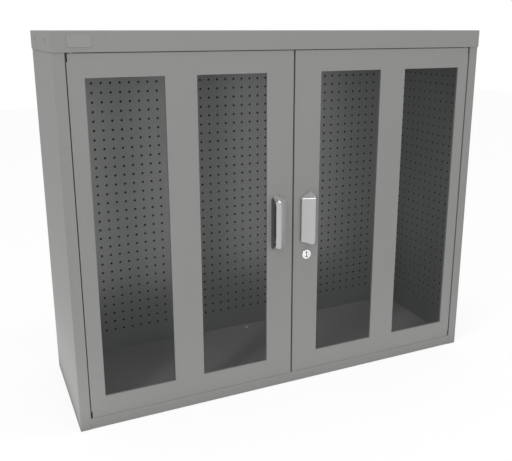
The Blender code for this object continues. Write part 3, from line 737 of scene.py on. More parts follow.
@cache
def space_mask() -> Tree:
    """One inside a box and zero outside it, where the box is mirrored in the plane X = 0.

    The mask is the product of six tests of (|x|, y, z) against the box's sides.

    Returns:
        The group.
    """
    tree, start, end = group_with(
        "space_mask",
        {"Low": (Socket.VECTOR, (0.0, 0.0, 0.0)), "High": (Socket.VECTOR, (1.0, 1.0, 1.0))},
        {"Mask": Socket.FLOAT})
    place = add_node(tree, "ShaderNodeTexCoord")
    split = add_node(tree, "ShaderNodeSeparateXYZ")
    fold = add_node(tree, "ShaderNodeMath", "ABSOLUTE")
    wire(tree, (place, "Object", split, "Vector"), (split, "X", fold, 0))
    product = None
    for limit, operation in (("Low", "GREATER_THAN"), ("High", "LESS_THAN")):
        bounds = add_node(tree, "ShaderNodeSeparateXYZ")
        wire(tree, (start, limit, bounds, "Vector"))
        for letter, source, out in (("X", fold, "Value"), ("Y", split, "Y"), ("Z", split, "Z")):
            test = add_node(tree, "ShaderNodeMath", operation)
            both = add_node(tree, "ShaderNodeMath", "MULTIPLY", {0: 1.0})
            wire(tree, (source, out, test, 0), (bounds, letter, test, 1), (test, "Value", both, 1))
            if product:
                wire(tree, (product, "Value", both, 0))
            product = both
    wire(tree, (product, "Value", end, "Mask"))
    return tree


# Finishes


@dataclass(frozen=True)
class Patch:
    """A box, mirrored in the plane X = 0, inside which a finish has another colour."""

    low: Place
    high: Place
    colour: Colour

    def lay(self, tree: Tree, shader: Node) -> None:
        """Lay the patch over a material's base colour.

        Args:
            tree: The material's nodes.
            shader: Its Principled shader.
        """
        base = shader.inputs["Base Color"]
        mask = add_group(tree, space_mask(), {"Low": self.low, "High": self.high})
        mix = tree.nodes.new("ShaderNodeMix")
        mix.data_type = "RGBA"
        set_inputs(mix, {"A": base.default_value, "B": (*self.colour, 1.0)})
        if base.is_linked:
            tree.links.new(base.links[0].from_socket, mix.inputs["A"])
        wire(tree, (mask, "Mask", mix, "Factor"), (mix, "Result", shader, "Base Color"))


@dataclass(frozen=True)
class Finish:
    """What every finish has: a name, the name of a slot of the record, which is not used here, and
    maybe a patch.
    """

    name: str
    slot: str
    patch: Patch | None = field(default=None, kw_only=True)

    def material(self) -> bpy.types.Material:
        """Make the material of this finish, the first time that it is asked for.

        Returns:
            The material.
        """
        if self.name not in bpy.data.materials:
            material = bpy.data.materials.new(self.name)
            material.use_nodes = True
            shader = material.node_tree.nodes["Principled BSDF"]
            self.paint(material.node_tree, shader)
            if self.patch:
                self.patch.lay(material.node_tree, shader)
        return bpy.data.materials[self.name]

    def paint(self, tree: Tree, shader: Node) -> None:
        """Set up the nodes of a new material."""
        raise NotImplementedError


@dataclass(frozen=True)
class BakedPaint(Finish):
    """Paint or moulded plastic with a fine rolling surface."""

    colour: Colour
    roughness: float
    clouds: float = 0.025
    peel_scale: float = 700.0
    peel_height: float = 0.00002
    metallic: float = 0.0
    specular: float = 0.3
    coat: float = 0.0
    coat_roughness: float = 0.15

    def paint(self, tree: Tree, shader: Node) -> None:
        """Feed colour, gloss and bump from the orange peel group.

        Args:
            tree: The material's nodes.
            shader: Its Principled shader.
        """
        group = add_group(tree, orange_peel(), {
            "Colour": (*self.colour, 1.0), "Clouds": self.clouds, "Roughness": self.roughness,
            "Peel Scale": self.peel_scale, "Peel Height": self.peel_height})
        set_inputs(shader, {
            "Metallic": self.metallic, "Specular IOR Level": self.specular,
            "Coat Weight": self.coat, "Coat Roughness": self.coat_roughness})
        wire(tree, (group, "Colour", shader, "Base Color"),
             (group, "Roughness", shader, "Roughness"), (group, "Normal", shader, "Normal"))


@dataclass(frozen=True)
class PlatedMetal(Finish):
    """Bright or zinc plated metal with fine scratches.

    Args:
        colour: Colour of the metal.
        gloss: Least and most roughness.
        stretch: How often the scratches vary along each axis, per metre.
    """

    colour: Colour
    gloss: tuple[float, float]
    stretch: tuple[float, float, float] = (2500.0, 2500.0, 120.0)

    def paint(self, tree: Tree, shader: Node) -> None:
        """Feed gloss and bump from the brushing group.

        Args:
            tree: The material's nodes.
            shader: Its Principled shader.
        """
        least, most = self.gloss
        group = add_group(tree, fine_brushing(), {
            "Stretch": self.stretch, "Least Roughness": least, "Most Roughness": most})
        set_inputs(shader, {"Base Color": (*self.colour, 1.0), "Metallic": 1.0})
        wire(tree, (group, "Roughness", shader, "Roughness"), (group, "Normal", shader, "Normal"))


@dataclass(frozen=True)
class ClearSheet(Finish):
    """Clear polycarbonate: a thin see-through sheet with a faint smear in its gloss.

    The sheet is too thin to bend light sideways, so it is a veil that lets most light pass.
    """

    colour: Colour
    veil: float
    refraction: float = 1.58
    smear_scale: float = 14.0
    gloss: tuple[float, float] = (0.03, 0.09)

    def paint(self, tree: Tree, shader: Node) -> None:
        """A weak veil, with gloss that varies slowly over the sheet.

        Args:
            tree: The material's nodes.
            shader: Its Principled shader.
        """
        set_inputs(shader, {
            "Base Color": (*self.colour, 1.0), "Alpha": self.veil, "IOR": self.refraction})
        place = add_node(tree, "ShaderNodeTexCoord")
        smear = add_node(tree, "ShaderNodeTexNoise", constants={"Scale": self.smear_scale})
        gloss = add_range(tree, *self.gloss)
        wire(tree, (place, "Object", smear, "Vector"), (smear, "Fac", gloss, "Value"),
             (gloss, "Result", shader, "Roughness"))


# Painted shade: near-black laid on the sheets behind the pegboard liners, where their holes look
# into shadow.
BEHIND_LINER_SHADE = (0.02, 0.02, 0.02)
# Painted shade: near-black inside the lock's keyhole slot.
KEYHOLE_SHADE = (0.008, 0.008, 0.008)
# Painted shade: dark grey on the floor inside the handle's hood and on its feet, for the shadow
# under the lip.
HOOD_PAINTED_SHADE = (0.2, 0.2, 0.2)
BODY_PAINT = BakedPaint("body_grey", "body_paint", (0.285, 0.285, 0.278), 0.75)
LINER_PAINT = BakedPaint("liner_grey", "liner_paint", (0.248, 0.255, 0.250), 0.40,
                         peel_height=0.00001, metallic=0.42, specular=1.0, coat=1.0,
                         coat_roughness=0.35)
PLATE_PAINT = BakedPaint("plate_grey", "plain_plate", (0.300, 0.300, 0.294), 0.65, clouds=0.01)
HANDLE_SILVER = BakedPaint("silver_paint", "handle_silver", (0.47, 0.47, 0.47), 0.2, clouds=0.02,
                           peel_scale=1600.0, peel_height=0.00001, metallic=0.4, specular=0.5,
                           coat=1.0)
CHROME = PlatedMetal("bright_chrome", "chrome_metal", (0.86, 0.86, 0.87), (0.06, 0.14))
ALUMINIUM = PlatedMetal("dull_aluminium", "chrome_metal", (0.90, 0.90, 0.90), (0.55, 0.70))
ZINC = PlatedMetal("zinc_plate", "zinc_steel", (0.62, 0.63, 0.65), (0.28, 0.42),
                   stretch=(900.0, 900.0, 900.0))
CLEAR = ClearSheet("clear_polycarbonate", "clear_sheet", (0.03, 0.04, 0.037), 0.10)
RUBBER = BakedPaint("moulded_rubber", "black_rubber", (0.022, 0.022, 0.022), 0.75, clouds=0.15,
                    peel_scale=1200.0, peel_height=0.00004)
NYLON = BakedPaint("white_nylon", "nylon", (0.72, 0.71, 0.68), 0.42, clouds=0.02, peel_scale=1500.0)


# Sub-assemblies


@dataclass
class FoldedSheet:
    """A piece of folded sheet that fills part of a node's box.

    Args:
        node: The node of the frame that it stands for.
        name: Name of the new piece.
        sheet: Thickness of the metal.
        fold: Outer radius of the folds.
        cut_ends: Ends of the box that are cut edges, as "-z +z".
        edge: Rounding of the cut edges.
    """

    node: str
    name: str
    sheet: float
    fold: float
    cut_ends: str = ""
    edge: float = EDGE

    def __post_init__(self) -> None:
        """Take the box of the node."""
        self.low, self.high = corners_of(self.node)

    def cells(self, between: dict[Axis, tuple[float, ...]]) -> list[Array]:
        """Divide the box by planes.

        Args:
            between: Planes across an axis, further to those at its folds and walls.

        Returns:
            The X, Y and Z of the cells' middles.
        """
        self.lines = []
        for axis in Axis:
            i, letter = axis.value, axis.name.lower()
            cut = f"-{letter} +{letter}" in self.cut_ends
            fold, wall = (0.0, 0.0) if cut else (self.fold, self.sheet)
            self.lines.append(planes(self.low[i], self.high[i], fold, wall, between.get(axis, ())))
        middles = [(line[1:] + line[:-1]) / 2 for line in self.lines]
        return list(np.meshgrid(*middles, indexing="ij"))

    def build(self, filled: Array, finish: Finish, cutters: list[Skin] | None = None) -> None:
        """Bend the filled cells round and finish the piece.

        Args:
            filled: For each cell whether it is metal.
            finish: Finish of the piece.
            cutters: Shapes to cut out of it.
        """
        skin = cell_skin(self.lines, filled)
        skin.points = bent_round(skin.points, self.low, self.high, self.fold, self.cut_ends)
        finished(self.name, skin, self.node, finish, cutters, self.edge)


@dataclass
class Carcass:
    """The still body: sides, floor, header, back, cap and label plate."""

    fold: float = 0.0018
    cap_sheet: float = 0.0015
    cap_fold: float = 0.0022
    fit_gap: float = 0.0001
    stile_lip: float = 0.018
    stile_growth: float = 0.0016
    rear_flange: float = 0.020
    base_lip: float = 0.020
    # How far the painted shade behind the liners stays inside their edges.
    primer_inset: float = 0.0024
    cap_hole_radius: float = 0.005
    cap_hole_drop: float = 0.0207
    cap_hole_front: float = 0.0803
    cap_hole_rear: float = 0.0878
    cap_drill_reach: float = 0.0108
    pin_drill_reach: float = 0.0036

    def cap_holes(self) -> list[Skin]:
        """Drills through both sides of the cap and the panels behind them.

        Returns:
            A round bar for each hole.
        """
        low, high = corners_of("top_cap")
        front = corners_of("left_door_shell")[0][1]
        return [bar(self.cap_hole_radius, np.array([x, y, high[2] - self.cap_hole_drop]), Axis.X,
                    self.cap_drill_reach)
                for x in (low[0], high[0])
                for y in (front + self.cap_hole_front, high[1] - self.cap_hole_rear)]

    def cap(self) -> None:
        """Lid with a skirt at the front and both sides."""
        part = FoldedSheet("top_cap", "top_cap_folded", self.cap_sheet, self.cap_fold, "+y -z")
        cells = part.cells({})
        wall = self.cap_sheet
        hollow = inside(cells, part.low + (wall, wall, -np.inf), part.high - (wall, -np.inf, wall))
        part.build(~hollow, BODY_PAINT, self.cap_holes())

    def side_panel(self, side: Side) -> None:
        """Web, front stile with its return lip, and rear flange.

        Args:
            side: The side of the panel.
        """
        node = f"{side.word}_side_panel"
        part = FoldedSheet(node, node + "_folded", SHEET, self.fold, "-z +z")
        outer, inner = side.outer_first(part.low, part.high)
        inner[0] -= side.value * self.stile_growth
        bottom, top = (corner[2] for corner in corners_of("back_pegboard"))
        flange = outer[0] - side.value * self.rear_flange
        lip_end = part.low[1] + self.stile_lip
        x, y, z = part.cells({Axis.X: (flange,), Axis.Y: (lip_end,), Axis.Z: (bottom, top)})
        web = np.abs(x - outer[0]) < SHEET
        face = y < part.low[1] + SHEET
        lip = (np.abs(x - inner[0]) < SHEET) & (y < lip_end) & (z > bottom) & (z < top)
        rear = (y > part.high[1] - SHEET) & (np.abs(x - outer[0]) < self.rear_flange)
        part.build(web | face | rear | lip, self.side_paint(), self.cap_holes())

    def side_paint(self) -> BakedPaint:
        """Paint shade on the side panel behind the side liner, so the liner's holes look into
        shadow.

        Returns:
            The paint of the side panels.
        """
        low, high = corners_of("right_pegboard")
        web = corners_of("right_side_panel")[1][0] - SHEET / 2
        patch = Patch((low[0] + self.primer_inset, low[1] + self.primer_inset, low[2]),
                      (web, high[1] - self.primer_inset, high[2]), BEHIND_LINER_SHADE)
        return replace(BODY_PAINT, name="body_grey_sides", patch=patch)

    def back_paint(self) -> BakedPaint:
        """Paint shade on the back sheet behind the back liner, so the liner's holes look into
        shadow.

        Returns:
            The paint of the back sheet.
        """
        low, high = corners_of("back_pegboard")
        near = low[1] + self.primer_inset
        sheet = corners_of("back_panel")[1][1] - SHEET / 2
        patch = Patch((low[0], near, low[2]), (high[0], sheet, high[2]), BEHIND_LINER_SHADE)
        return replace(BODY_PAINT, name="body_grey_back", patch=patch)

    def floor_pan(self) -> None:
        """Floor with a front rail, a rear wall and the lips that it stands on."""
        part = FoldedSheet("bottom_pan", "bottom_pan_folded", SHEET, self.fold, "-x +x")
        stile = corners_of("left_side_panel")[1][0] + self.stile_growth + self.fit_gap
        front, rear = part.low[1] + self.base_lip, part.high[1] - self.base_lip
        corner = part.low[1] + SHEET + 2 * self.fit_gap
        x, y, z = part.cells({Axis.X: (stile, -stile), Axis.Y: (front, rear, corner)})
        deck = z > part.high[2] - SHEET
        walls = (y < part.low[1] + SHEET) | (y > part.high[1] - SHEET)
        lips = (z < part.low[2] + SHEET) & ((y < front) | (y > rear))
        behind_stile = (np.abs(x) > abs(stile)) & (y < corner)
        pins = []
        for side in Side:
            pin = f"{side.word}_hinge_pin_upper"
            low, high = corners_of(pin)
            pins.append(bar((high[0] - low[0]) / 2, centre_of(pin, Axis.Z, part.high[2]), Axis.Z,
                            self.pin_drill_reach))
        part.build((deck | walls | lips) & ~behind_stile, BODY_PAINT, pins)

    def build(self) -> None:
        """Build the body."""
        self.cap()
        for side in Side:
            self.side_panel(side)
        self.floor_pan()
        dress_node("back_panel", self.back_paint())
        dress_node("header_channel", BODY_PAINT)
        dress_node("floor_rivet", ALUMINIUM, FINE_EDGE)
        LabelPlate().build()


@dataclass
class LabelPlate:
    """Plain pressed plate on the cap, with round corners and a raised rim."""

    corner: float = 0.0055
    rim: float = 0.0016
    slope: float = 0.0007
    field_depth: float = 0.0004
    steps: int = 32

    def build(self) -> None:
        """Carry the plate's edge section round a rounded rectangle.

        Each ring is the rounded rectangle moved inwards by an inset and set at a height: a corner
        of the core plus (cos, sin) times what the inset leaves of the corner's radius. The last
        ring has no radius left, so four of its points close the middle.
        """
        low, high = corners_of("label_plate")
        thick = high[1] - low[1]
        rings = np.array([(0.0, 0.0), (0.0, thick - self.slope), (self.slope, thick),
                          (self.rim, thick), (self.rim + self.slope, thick - self.field_depth),
                          (self.corner, thick - self.field_depth)])
        turn = (np.arange(self.steps) + 0.5) * math.tau / self.steps
        way = np.stack([np.cos(turn), np.sin(turn)], axis=1)
        core = (low + high)[[0, 2]] / 2 + np.sign(way) * ((high - low)[[0, 2]] / 2 - self.corner)
        flat = core + way * (self.corner - rings[:, 0])[:, None, None]
        points = np.insert(flat, 1, (high[1] - rings[:, 1])[:, None], axis=2).reshape(-1, 3)
        ring = np.arange(self.steps)[None, :]
        middle = ring[:, ::self.steps // 4] + (len(rings) - 1) * self.steps
        skin = Skin(points, [ring_quads(len(rings), self.steps), ring[:, ::-1], middle])
        finished("label_plate_pressed", skin.welded().outward(), "label_plate", PLATE_PAINT)


@dataclass
class Pegboard:
    """A folded liner punched with a square grid of holes.

    Args:
        node: The node of the frame that it stands for.
        route: Corners of the sheet's punched side, seen from above, in order.
        face: Index of the straight of the route that is punched.
        columns: Distances of the hole columns from the start of that straight.
        rows: Heights of the hole rows.
        hole_radius: Radius of the holes.
    """

    node: str
    route: list[tuple[float, float]]
    face: int
    columns: Array
    rows: Array
    hole_radius: float = 0.00357

    def __post_init__(self) -> None:
        """Measure the route: the starts of its straights, their ways and their normals."""
        self.corners = np.array(self.route, float)
        runs = np.diff(self.corners, axis=0)
        lengths = np.linalg.norm(runs, axis=1)
        self.starts = np.concatenate([[0.0], np.cumsum(lengths)])
        self.ways = runs / lengths[:, None]
        self.normals = np.stack([-self.ways[:, 1], self.ways[:, 0]], axis=1)
        self.along = self.starts[self.face] + self.columns

    def grid(self) -> tuple[Array, Array, Array, Array]:
        """Points of the unpunched sheet.

        A point of the front is u along the route and v high. The point of the back behind it is
        moved by (a + b) / (1 + a . b) times the thickness, where a and b are the normals of the
        straights before and after it.

        Returns:
            The places u, the heights v, and the points of the front and of the back, u by u.
        """
        low, high = corners_of(self.node)
        thirds = np.array([-0.5, -1 / 6, 1 / 6, 0.5]) * PITCH
        u, v = (np.unique(np.round(np.append(ends, middles[:, None] + thirds), DECIMALS))
                for ends, middles in ((self.starts, self.along), ((low[2], high[2]), self.rows)))
        before, after = (np.clip(np.searchsorted(self.starts, u - back, side="right") - 1, 0,
                                 len(self.ways) - 1) for back in (GRAIN, 0.0))
        place = self.corners[after] + (u - self.starts[after])[:, None] * self.ways[after]
        a, b = self.normals[before], self.normals[after]
        shift = (a + b) / (1.0 + (a * b).sum(axis=1, keepdims=True)) * SHEET
        front, back = (np.concatenate([np.repeat(line, len(v), axis=0),
                                       np.tile(v, len(u))[:, None]], axis=1)
                       for line in (place, place + shift))
        return u, v, front, back

    def build(self) -> None:
        """Punch the sheet.

        The sheet is a grid over its length along the route and its height, and a second grid one
        thickness behind it. A hole takes the three by three cells round its centre: the twelve
        grid points round them are joined to twelve points on the hole's circle.
        """
        u, v, front, back = self.grid()
        high, second = len(v), len(front)
        firsts = [np.searchsorted(line, middles - PITCH / 2 - 10 * GRAIN)
                  for line, middles in ((u, self.along), (v, self.rows))]
        column, row = (part.ravel() for part in np.meshgrid(*firsts, indexing="ij"))
        step = np.arange(3)
        plain = np.ones((len(u) - 1, high - 1), bool)
        plain[column[:, None, None] + step[:, None], row[:, None, None] + step] = False
        i, j = np.nonzero(plain)
        flat = quads_of(i * high + j, (i + 1) * high + j, (i + 1) * high + j + 1, i * high + j + 1)
        round_u = np.array([0, 1, 2, 3, 3, 3, 3, 2, 1, 0, 0, 0])
        rim = (column[:, None] + round_u) * high + row[:, None] + np.roll(round_u, 3)
        turn = np.radians(225.0 + 30.0 * np.arange(12))
        way = self.ways[self.face]
        spoke = np.stack([np.cos(turn) * way[0], np.cos(turn) * way[1], np.sin(turn)], axis=1)
        centre = (front[rim[:, 0]] + front[rim[:, 6]]) / 2
        circle = (centre[:, None] + spoke * self.hole_radius).reshape(-1, 3)
        depth = np.append(self.normals[self.face] * SHEET, 0.0)
        mouth = 2 * second + np.arange(len(circle)).reshape(-1, 12)
        behind = mouth + len(circle)
        rim_next, mouth_next, behind_next = (np.roll(part, -1, axis=1)
                                             for part in (rim, mouth, behind))
        a, b = np.arange(high - 1), np.arange(len(u) - 1) * high
        left = quads_of(a, a + 1, a + 1 + second, a + second)
        foot = quads_of(b, b + second, b + high + second, b + high)
        faces = [flat, flat[:, ::-1] + second, quads_of(rim, rim_next, mouth_next, mouth),
                 quads_of(rim + second, behind, behind_next, rim_next + second),
                 quads_of(mouth, mouth_next, behind_next, behind),
                 left, left[:, ::-1] + second - high, foot, foot[:, ::-1] + high - 1]
        points = np.concatenate([front, back, circle, circle + depth])
        skin = Skin(points, [np.concatenate(faces)]).outward()
        finished(self.node + "_punched", skin, self.node, LINER_PAINT)


@dataclass
class Liners:
    """Pegboard at the back and on both sides, and the screws that hold the back one."""

    side_standoff: float = 0.0217
    fit_gap: float = 0.0003
    back_columns: int = 43
    side_columns: int = 12
    side_first: float = 0.0382
    rows: int = 31
    back_top_row: float = 0.8545
    side_top_row: float = 0.8624

    def back(self) -> None:
        """The back liner, folded back at both ends to its feet against the back panel."""
        low, high = corners_of("back_pegboard")
        edge = -corners_of("left_side_panel")[0][0] - self.side_standoff - self.fit_gap
        face, foot = low[1], high[1] - SHEET
        route = [(low[0], foot), (-edge, foot), (-edge, face),
                 (edge, face), (edge, foot), (high[0], foot)]
        columns = edge + (np.arange(self.back_columns) - (self.back_columns - 1) / 2) * PITCH
        rows = self.back_top_row - PITCH * np.arange(self.rows)[::-1]
        Pegboard("back_pegboard", route, 2, columns, rows).build()

    def side(self, side: Side) -> None:
        """A side liner, folded out to the side panel at its front and rear.

        Args:
            side: The side that it covers.
        """
        node = f"{side.word}_pegboard"
        low, high = corners_of(node)
        wall, face = side.outer_first(low[0], high[0])
        front = corners_of("left_door_shell")[0][1]
        route = [(wall, low[1]), (face, low[1]), (face, high[1]), (wall, high[1])]
        columns = front + self.side_first - low[1] + PITCH * np.arange(self.side_columns)
        rows = self.side_top_row - PITCH * np.arange(self.rows)[::-1]
        if side is Side.LEFT:
            route = route[::-1]
            columns = (high[1] - low[1] - columns)[::-1]
        Pegboard(node, route, 1, columns, rows).build()

    def build(self) -> None:
        """Build the liners."""
        self.back()
        for side in Side:
            self.side(side)
            for end in End:
                dress_node(f"liner_screw_{side.word}_{end.value}", ZINC, FINE_EDGE)


@dataclass
class Door:
    """A folded door with two windows, its panes and frames, handle, bushes and screws."""

    side: Side
    fold: float = 0.0015
    lip: float = 0.010
    reach_down: float = 0.0018
    middle_trim: float = 0.0005
    outer_trim: dict[Side, float] = field(
        default_factory=lambda: {Side.LEFT: 0.0005, Side.RIGHT: 0.0027})
    notch_width: float = 0.0025
    notch_height: float = 0.018
    pane_lap: float = 0.010
    pane_edge: float = 0.0008
    frame_fold: float = 0.0006
    fit_gap: float = 0.0003
    bush_hole: float = 0.0048
    screw_hole: float = 0.0024
    bolt_hole: float = 0.0033
    lock_hole: float = 0.0098
    drill_reach: float = 0.003

    def window(self, place: Pane) -> tuple[Array, Array]:
        """Find the opening in front of a pane, which the door laps all round.

        Args:
            place: Which of the door's panes it is.

        Returns:
            Lowest and highest corner of the opening, which is endless along Y.
        """
        low, high = corners_of(f"{self.side.word}_pane_{place.value}")
        lap = np.array([self.pane_lap, -np.inf, self.pane_lap])
        return low + lap, high - lap

    def shell(self) -> None:
        """Door pan with its windows, back lips and the notches at its hinge corners."""
        node = f"{self.side.word}_door_shell"
        part = FoldedSheet(node, node + "_folded", SHEET, self.fold)
        low, high = part.low, part.high
        low[2] -= self.reach_down
        outer, middle = self.side.outer_first(low, high)
        outer[0] -= self.side.value * self.outer_trim[self.side]
        middle[0] += self.side.value * self.middle_trim
        notch = outer[0] - self.side.value * self.notch_width
        openings = [self.window(place) for place in Pane]
        sides = [corner[0] for opening in openings for corner in opening]
        ends = [corner[2] for corner in openings[0]]
        below, above = low[2] + self.notch_height, high[2] - self.notch_height
        first = low + (self.lip, SHEET, self.lip)
        last = high - (self.lip, -np.inf, self.lip)
        cells = part.cells({Axis.X: (first[0], last[0], notch, *sides),
                            Axis.Z: (first[2], last[2], below, above, *ends)})
        x, _, z = cells
        notched = (np.abs(x - outer[0]) < self.notch_width) & ((z < below) | (z > above))
        hollow = inside(cells, low + SHEET, high - SHEET)
        filled = ~(hollow | inside(cells, first, last) | notched)
        for opening in openings:
            filled &= ~inside(cells, *opening)
        part.build(filled, BODY_PAINT, self.drills(low, high))

    def drills(self, low: Array, high: Array) -> list[Skin]:
        """Holes for the bushes, the handle's screws, and the bolt or the lock.

        Args:
            low: Lowest corner of the door.
            high: Highest corner of the door.

        Returns:
            A round bar for each hole.
        """
        holes = []
        for end, height in zip(End, (low[2], high[2])):
            bush = f"{self.side.word}_door_bush_{end.value}"
            screw = f"{self.side.word}_handle_screw_{end.value}"
            holes.append((self.bush_hole, bush, Axis.Z, height))
            holes.append((self.screw_hole, screw, Axis.Y, low[1]))
        if self.side is Side.LEFT:
            holes.append((self.bolt_hole, "slide_bolt", Axis.Z, high[2]))
        else:
            holes.append((self.lock_hole, "lock_housing", Axis.Y, low[1]))
        return [bar(radius, centre_of(node, axis, at), axis, self.drill_reach)
                for radius, node, axis, at in holes]

    def pane(self, place: Pane) -> None:
        """A clear sheet with eased edges.

        Args:
            place: Which of the door's panes it is.
        """
        node = f"{self.side.word}_pane_{place.value}"
        part = FoldedSheet(node, node + "_sheet", 0.0, self.pane_edge, edge=0.0)
        part.build(np.ones_like(part.cells({})[0], bool), CLEAR)

    def pane_frame(self, place: Pane) -> None:
        """A flat frame that laps the pane and covers its edge.

        Args:
            place: Which of the door's panes it holds.
        """
        node = f"{self.side.word}_pane_frame_{place.value}"
        part = FoldedSheet(node, node + "_pressed", SHEET, self.frame_fold)
        pane_low, pane_high = corners_of(f"{self.side.word}_pane_{place.value}")
        low, high = pane_low - self.fit_gap, pane_high + self.fit_gap
        low[1] = -np.inf
        first, last = self.window(place)
        cells = part.cells({Axis.X: (first[0], last[0], low[0], high[0]), Axis.Y: (high[1],),
                            Axis.Z: (first[2], last[2], low[2], high[2])})
        part.build(~(inside(cells, first, last) | inside(cells, low, high)), BODY_PAINT)

    def build(self) -> None:
        """Build the door."""
        self.shell()
        for place in Pane:
            self.pane(place)
            self.pane_frame(place)
        for end in End:
            dress_node(f"{self.side.word}_door_bush_{end.value}", NYLON, FINE_EDGE)
            dress_node(f"{self.side.word}_handle_screw_{end.value}", ZINC, FINE_EDGE)
        Handle(self.side).build()


@dataclass
class Handle:
    """A cast hood with flat facets: a slope up to a crest, a lip, and two facets at each end.

    Places are given as distance from the middle of the doors, rise from the door and, at the ends,
    reach beyond the hood's middle part. The mouth for the fingers is under the lip. Both handles
    are made as the right one, and the left one is mirrored at the end.
    """

    side: Side
    middle_height: float = 0.4627
    inner: Place = (0.0214, 0.0065, 0.0583)
    crest: Place = (0.0490, 0.0297, 0.0600)
    nose: Place = (0.0522, 0.0215, 0.0680)
    lip: Place = (0.0590, 0.0224, 0.0600)
    inner_foot: Place = (0.0214, 0.0, 0.0601)
    tip: Place = (0.0510, 0.0, 0.0758)
    lip_foot: Place = (0.0590, 0.0, 0.0689)
    wall: float = 0.0025
    roof: float = 0.003125
    end_wall: float = 0.003
    edge: float = 0.0015
    edge_turn: float = math.radians(30.0)
    edge_steps: int = 4
    flat_turn: float = math.radians(1.0)
    gap: float = 0.0003
    sunk: float = 0.004
    door_across: tuple[float, float] = (0.0, 0.08)
    beyond: float = 0.1
    below: float = 0.02
    slot_across: tuple[float, float] = (0.0114, 0.0274)
    slot_rise: float = 0.005
    mouth_across: tuple[float, float] = (0.053, 0.069)
    mouth_bend: float = 1.5
    mouth_run: float = 0.0208
    mouth_below: float = 0.003
    mouth_steps: int = 12
    boss_radius: float = 0.0055
    boss_inset: float = 0.0065
    boss_across: float = 0.046
    # The floor is a thin sheet inside the hood that carries painted shade.
    floor: tuple[tuple[float, float], ...] = ((0.0239, 0.0585), (0.0510, 0.0730), (0.0590, 0.0670),
                                              (0.0625, 0.0640))
    floor_sheet: float = 0.0010
    floor_paint: float = 0.0012

    def placed(self, across: Array | float, rise: Array | float, height: Array | float) -> Array:
        """Points of the right handle.

        Args:
            across: Distance from the middle of the doors.
            rise: Rise from the door.
            height: Height above the hood's middle.

        Returns:
            One row of X, Y and Z for each point.
        """
        front = corners_of(f"{self.side.word}_door_shell")[0][1]
        parts = np.broadcast_arrays(across, front - rise, self.middle_height + height)
        return np.stack(parts, axis=-1)

    def corners(self) -> Array:
        """List the hood's corners, with the feet carried on into the door.

        Returns:
            Distance, rise and height of each corner, upper half first.
        """
        top = np.array([self.inner, self.nose, self.lip, self.crest])
        foot = np.array([self.inner_foot, self.tip, self.lip_foot])
        foot += (foot - top[:3]) * self.sunk / (top[:3, 1:2] - foot[:, 1:2])
        upper = np.concatenate([top, foot])
        return np.concatenate([upper, upper * (1.0, 1.0, -1.0)])

    def hollow(self) -> Skin:
        """Draw the hood's corners together by its walls, and deeper into the door.

        Returns:
            The cutter for the hollow.
        """
        across, rise, height = self.corners().T
        across = np.clip(across, self.inner[0] + self.wall, self.lip[0] - self.wall)
        rise = np.where(rise < 0.0, -3 * self.sunk, rise - self.roof)
        return wrapped(self.placed(across, rise, height - self.end_wall * np.sign(height)))

    def mouth(self) -> Skin:
        """Cut the mouth with a prism across the hood.

        Its height h over the reach r from the middle of the hood follows |d / run| ** bend +
        |h / rise| ** bend = 1, where d is how far r is past the straight part of the mouth.

        Returns:
            The cutter.
        """
        turn = np.linspace(0.0, math.pi / 2, self.mouth_steps)
        rise = self.lip[1] * np.cos(turn) ** (2 / self.mouth_bend)
        reach = self.lip_foot[2] + self.mouth_run * (np.sin(turn) ** (2 / self.mouth_bend) - 1.0)
        heights = np.concatenate([-reach[::-1], reach])
        rises = np.concatenate([rise[::-1], rise])
        near, far = self.mouth_across
        return tube([self.placed(near, rises, heights), self.placed(far, rises, heights),
                     self.placed(far, -self.mouth_below, heights),
                     self.placed(near, -self.mouth_below, heights)])

    def block(self, across: tuple[float, float], rise: float, reach: float) -> Skin:
        """A box below a rise, between two distances, that reaches as far up as down."""
        corners = np.array(np.meshgrid(across, (-self.below, rise), (-reach, reach))).reshape(3, -1)
        return wrapped(self.placed(*corners))

    def filling(self) -> Skin:
        """Make the screws' bosses under the slope, and a thin floor that follows the hood's foot,
        put there to carry the painted shade inside the hood.

        Returns:
            The bosses and the floor.
        """
        climb = (self.crest[1] - self.inner[1]) / (self.crest[0] - self.inner[0])
        roof = (self.inner[1] - self.wall / 2
                + climb * (self.boss_across - self.boss_radius - self.inner[0]))
        middle, half = (roof + self.gap) / 2, (roof - self.gap) / 2
        far = self.inner[2] - self.boss_inset
        bosses = [bar(self.boss_radius, self.placed(self.boss_across, middle, height), Axis.Y, half)
                  for height in (-far, far)]
        # A thin sheet under the hood, put there to carry painted shade.
        across, reach = np.array(self.floor).T
        corners = [self.placed(across, rise, sign * reach)
                   for rise in (self.gap, self.gap + self.floor_sheet) for sign in (-1, 1)]
        return joined([*bosses, wrapped(np.concatenate(corners))])

    def silver(self) -> BakedPaint:
        """Paint shade on the floor inside the hood and on the hood's feet next to the door.

        Returns:
            The silver paint of the handle.
        """
        across, reach = np.array(self.floor).max(axis=0) + self.gap
        low = self.placed(self.inner[0] + self.wall / 2, self.gap + self.floor_paint, -reach)
        high = self.placed(across, -self.gap, reach)
        return replace(HANDLE_SILVER, patch=Patch(tuple(low), tuple(high), HOOD_PAINTED_SHADE))

    def build(self) -> None:
        """Round the hood's edges, hollow it, and open it under its inner edge and its lip."""
        node = f"{self.side.word}_handle"
        piece = piece_of(node + "_cast", wrapped(self.placed(*self.corners().T)))
        facets = piece.modifiers.new("flat facets", "DECIMATE")
        facets.decimate_type = "DISSOLVE"
        facets.angle_limit = self.flat_turn
        bevel(piece, self.edge, self.edge_turn, self.edge_steps)
        for cutter in (self.hollow(), self.block(self.door_across, self.gap, self.beyond),
                       self.block(self.slot_across, self.slot_rise, self.inner[2] - self.wall),
                       self.mouth()):
            drill(piece, [cutter])
        add_to(piece, self.filling())
        if self.side is Side.LEFT:
            piece.data.transform(Matrix.Diagonal((-1.0, 1.0, 1.0, 1.0)))
            piece.data.flip_normals()
        shade(piece)
        fit(piece, node, self.silver())


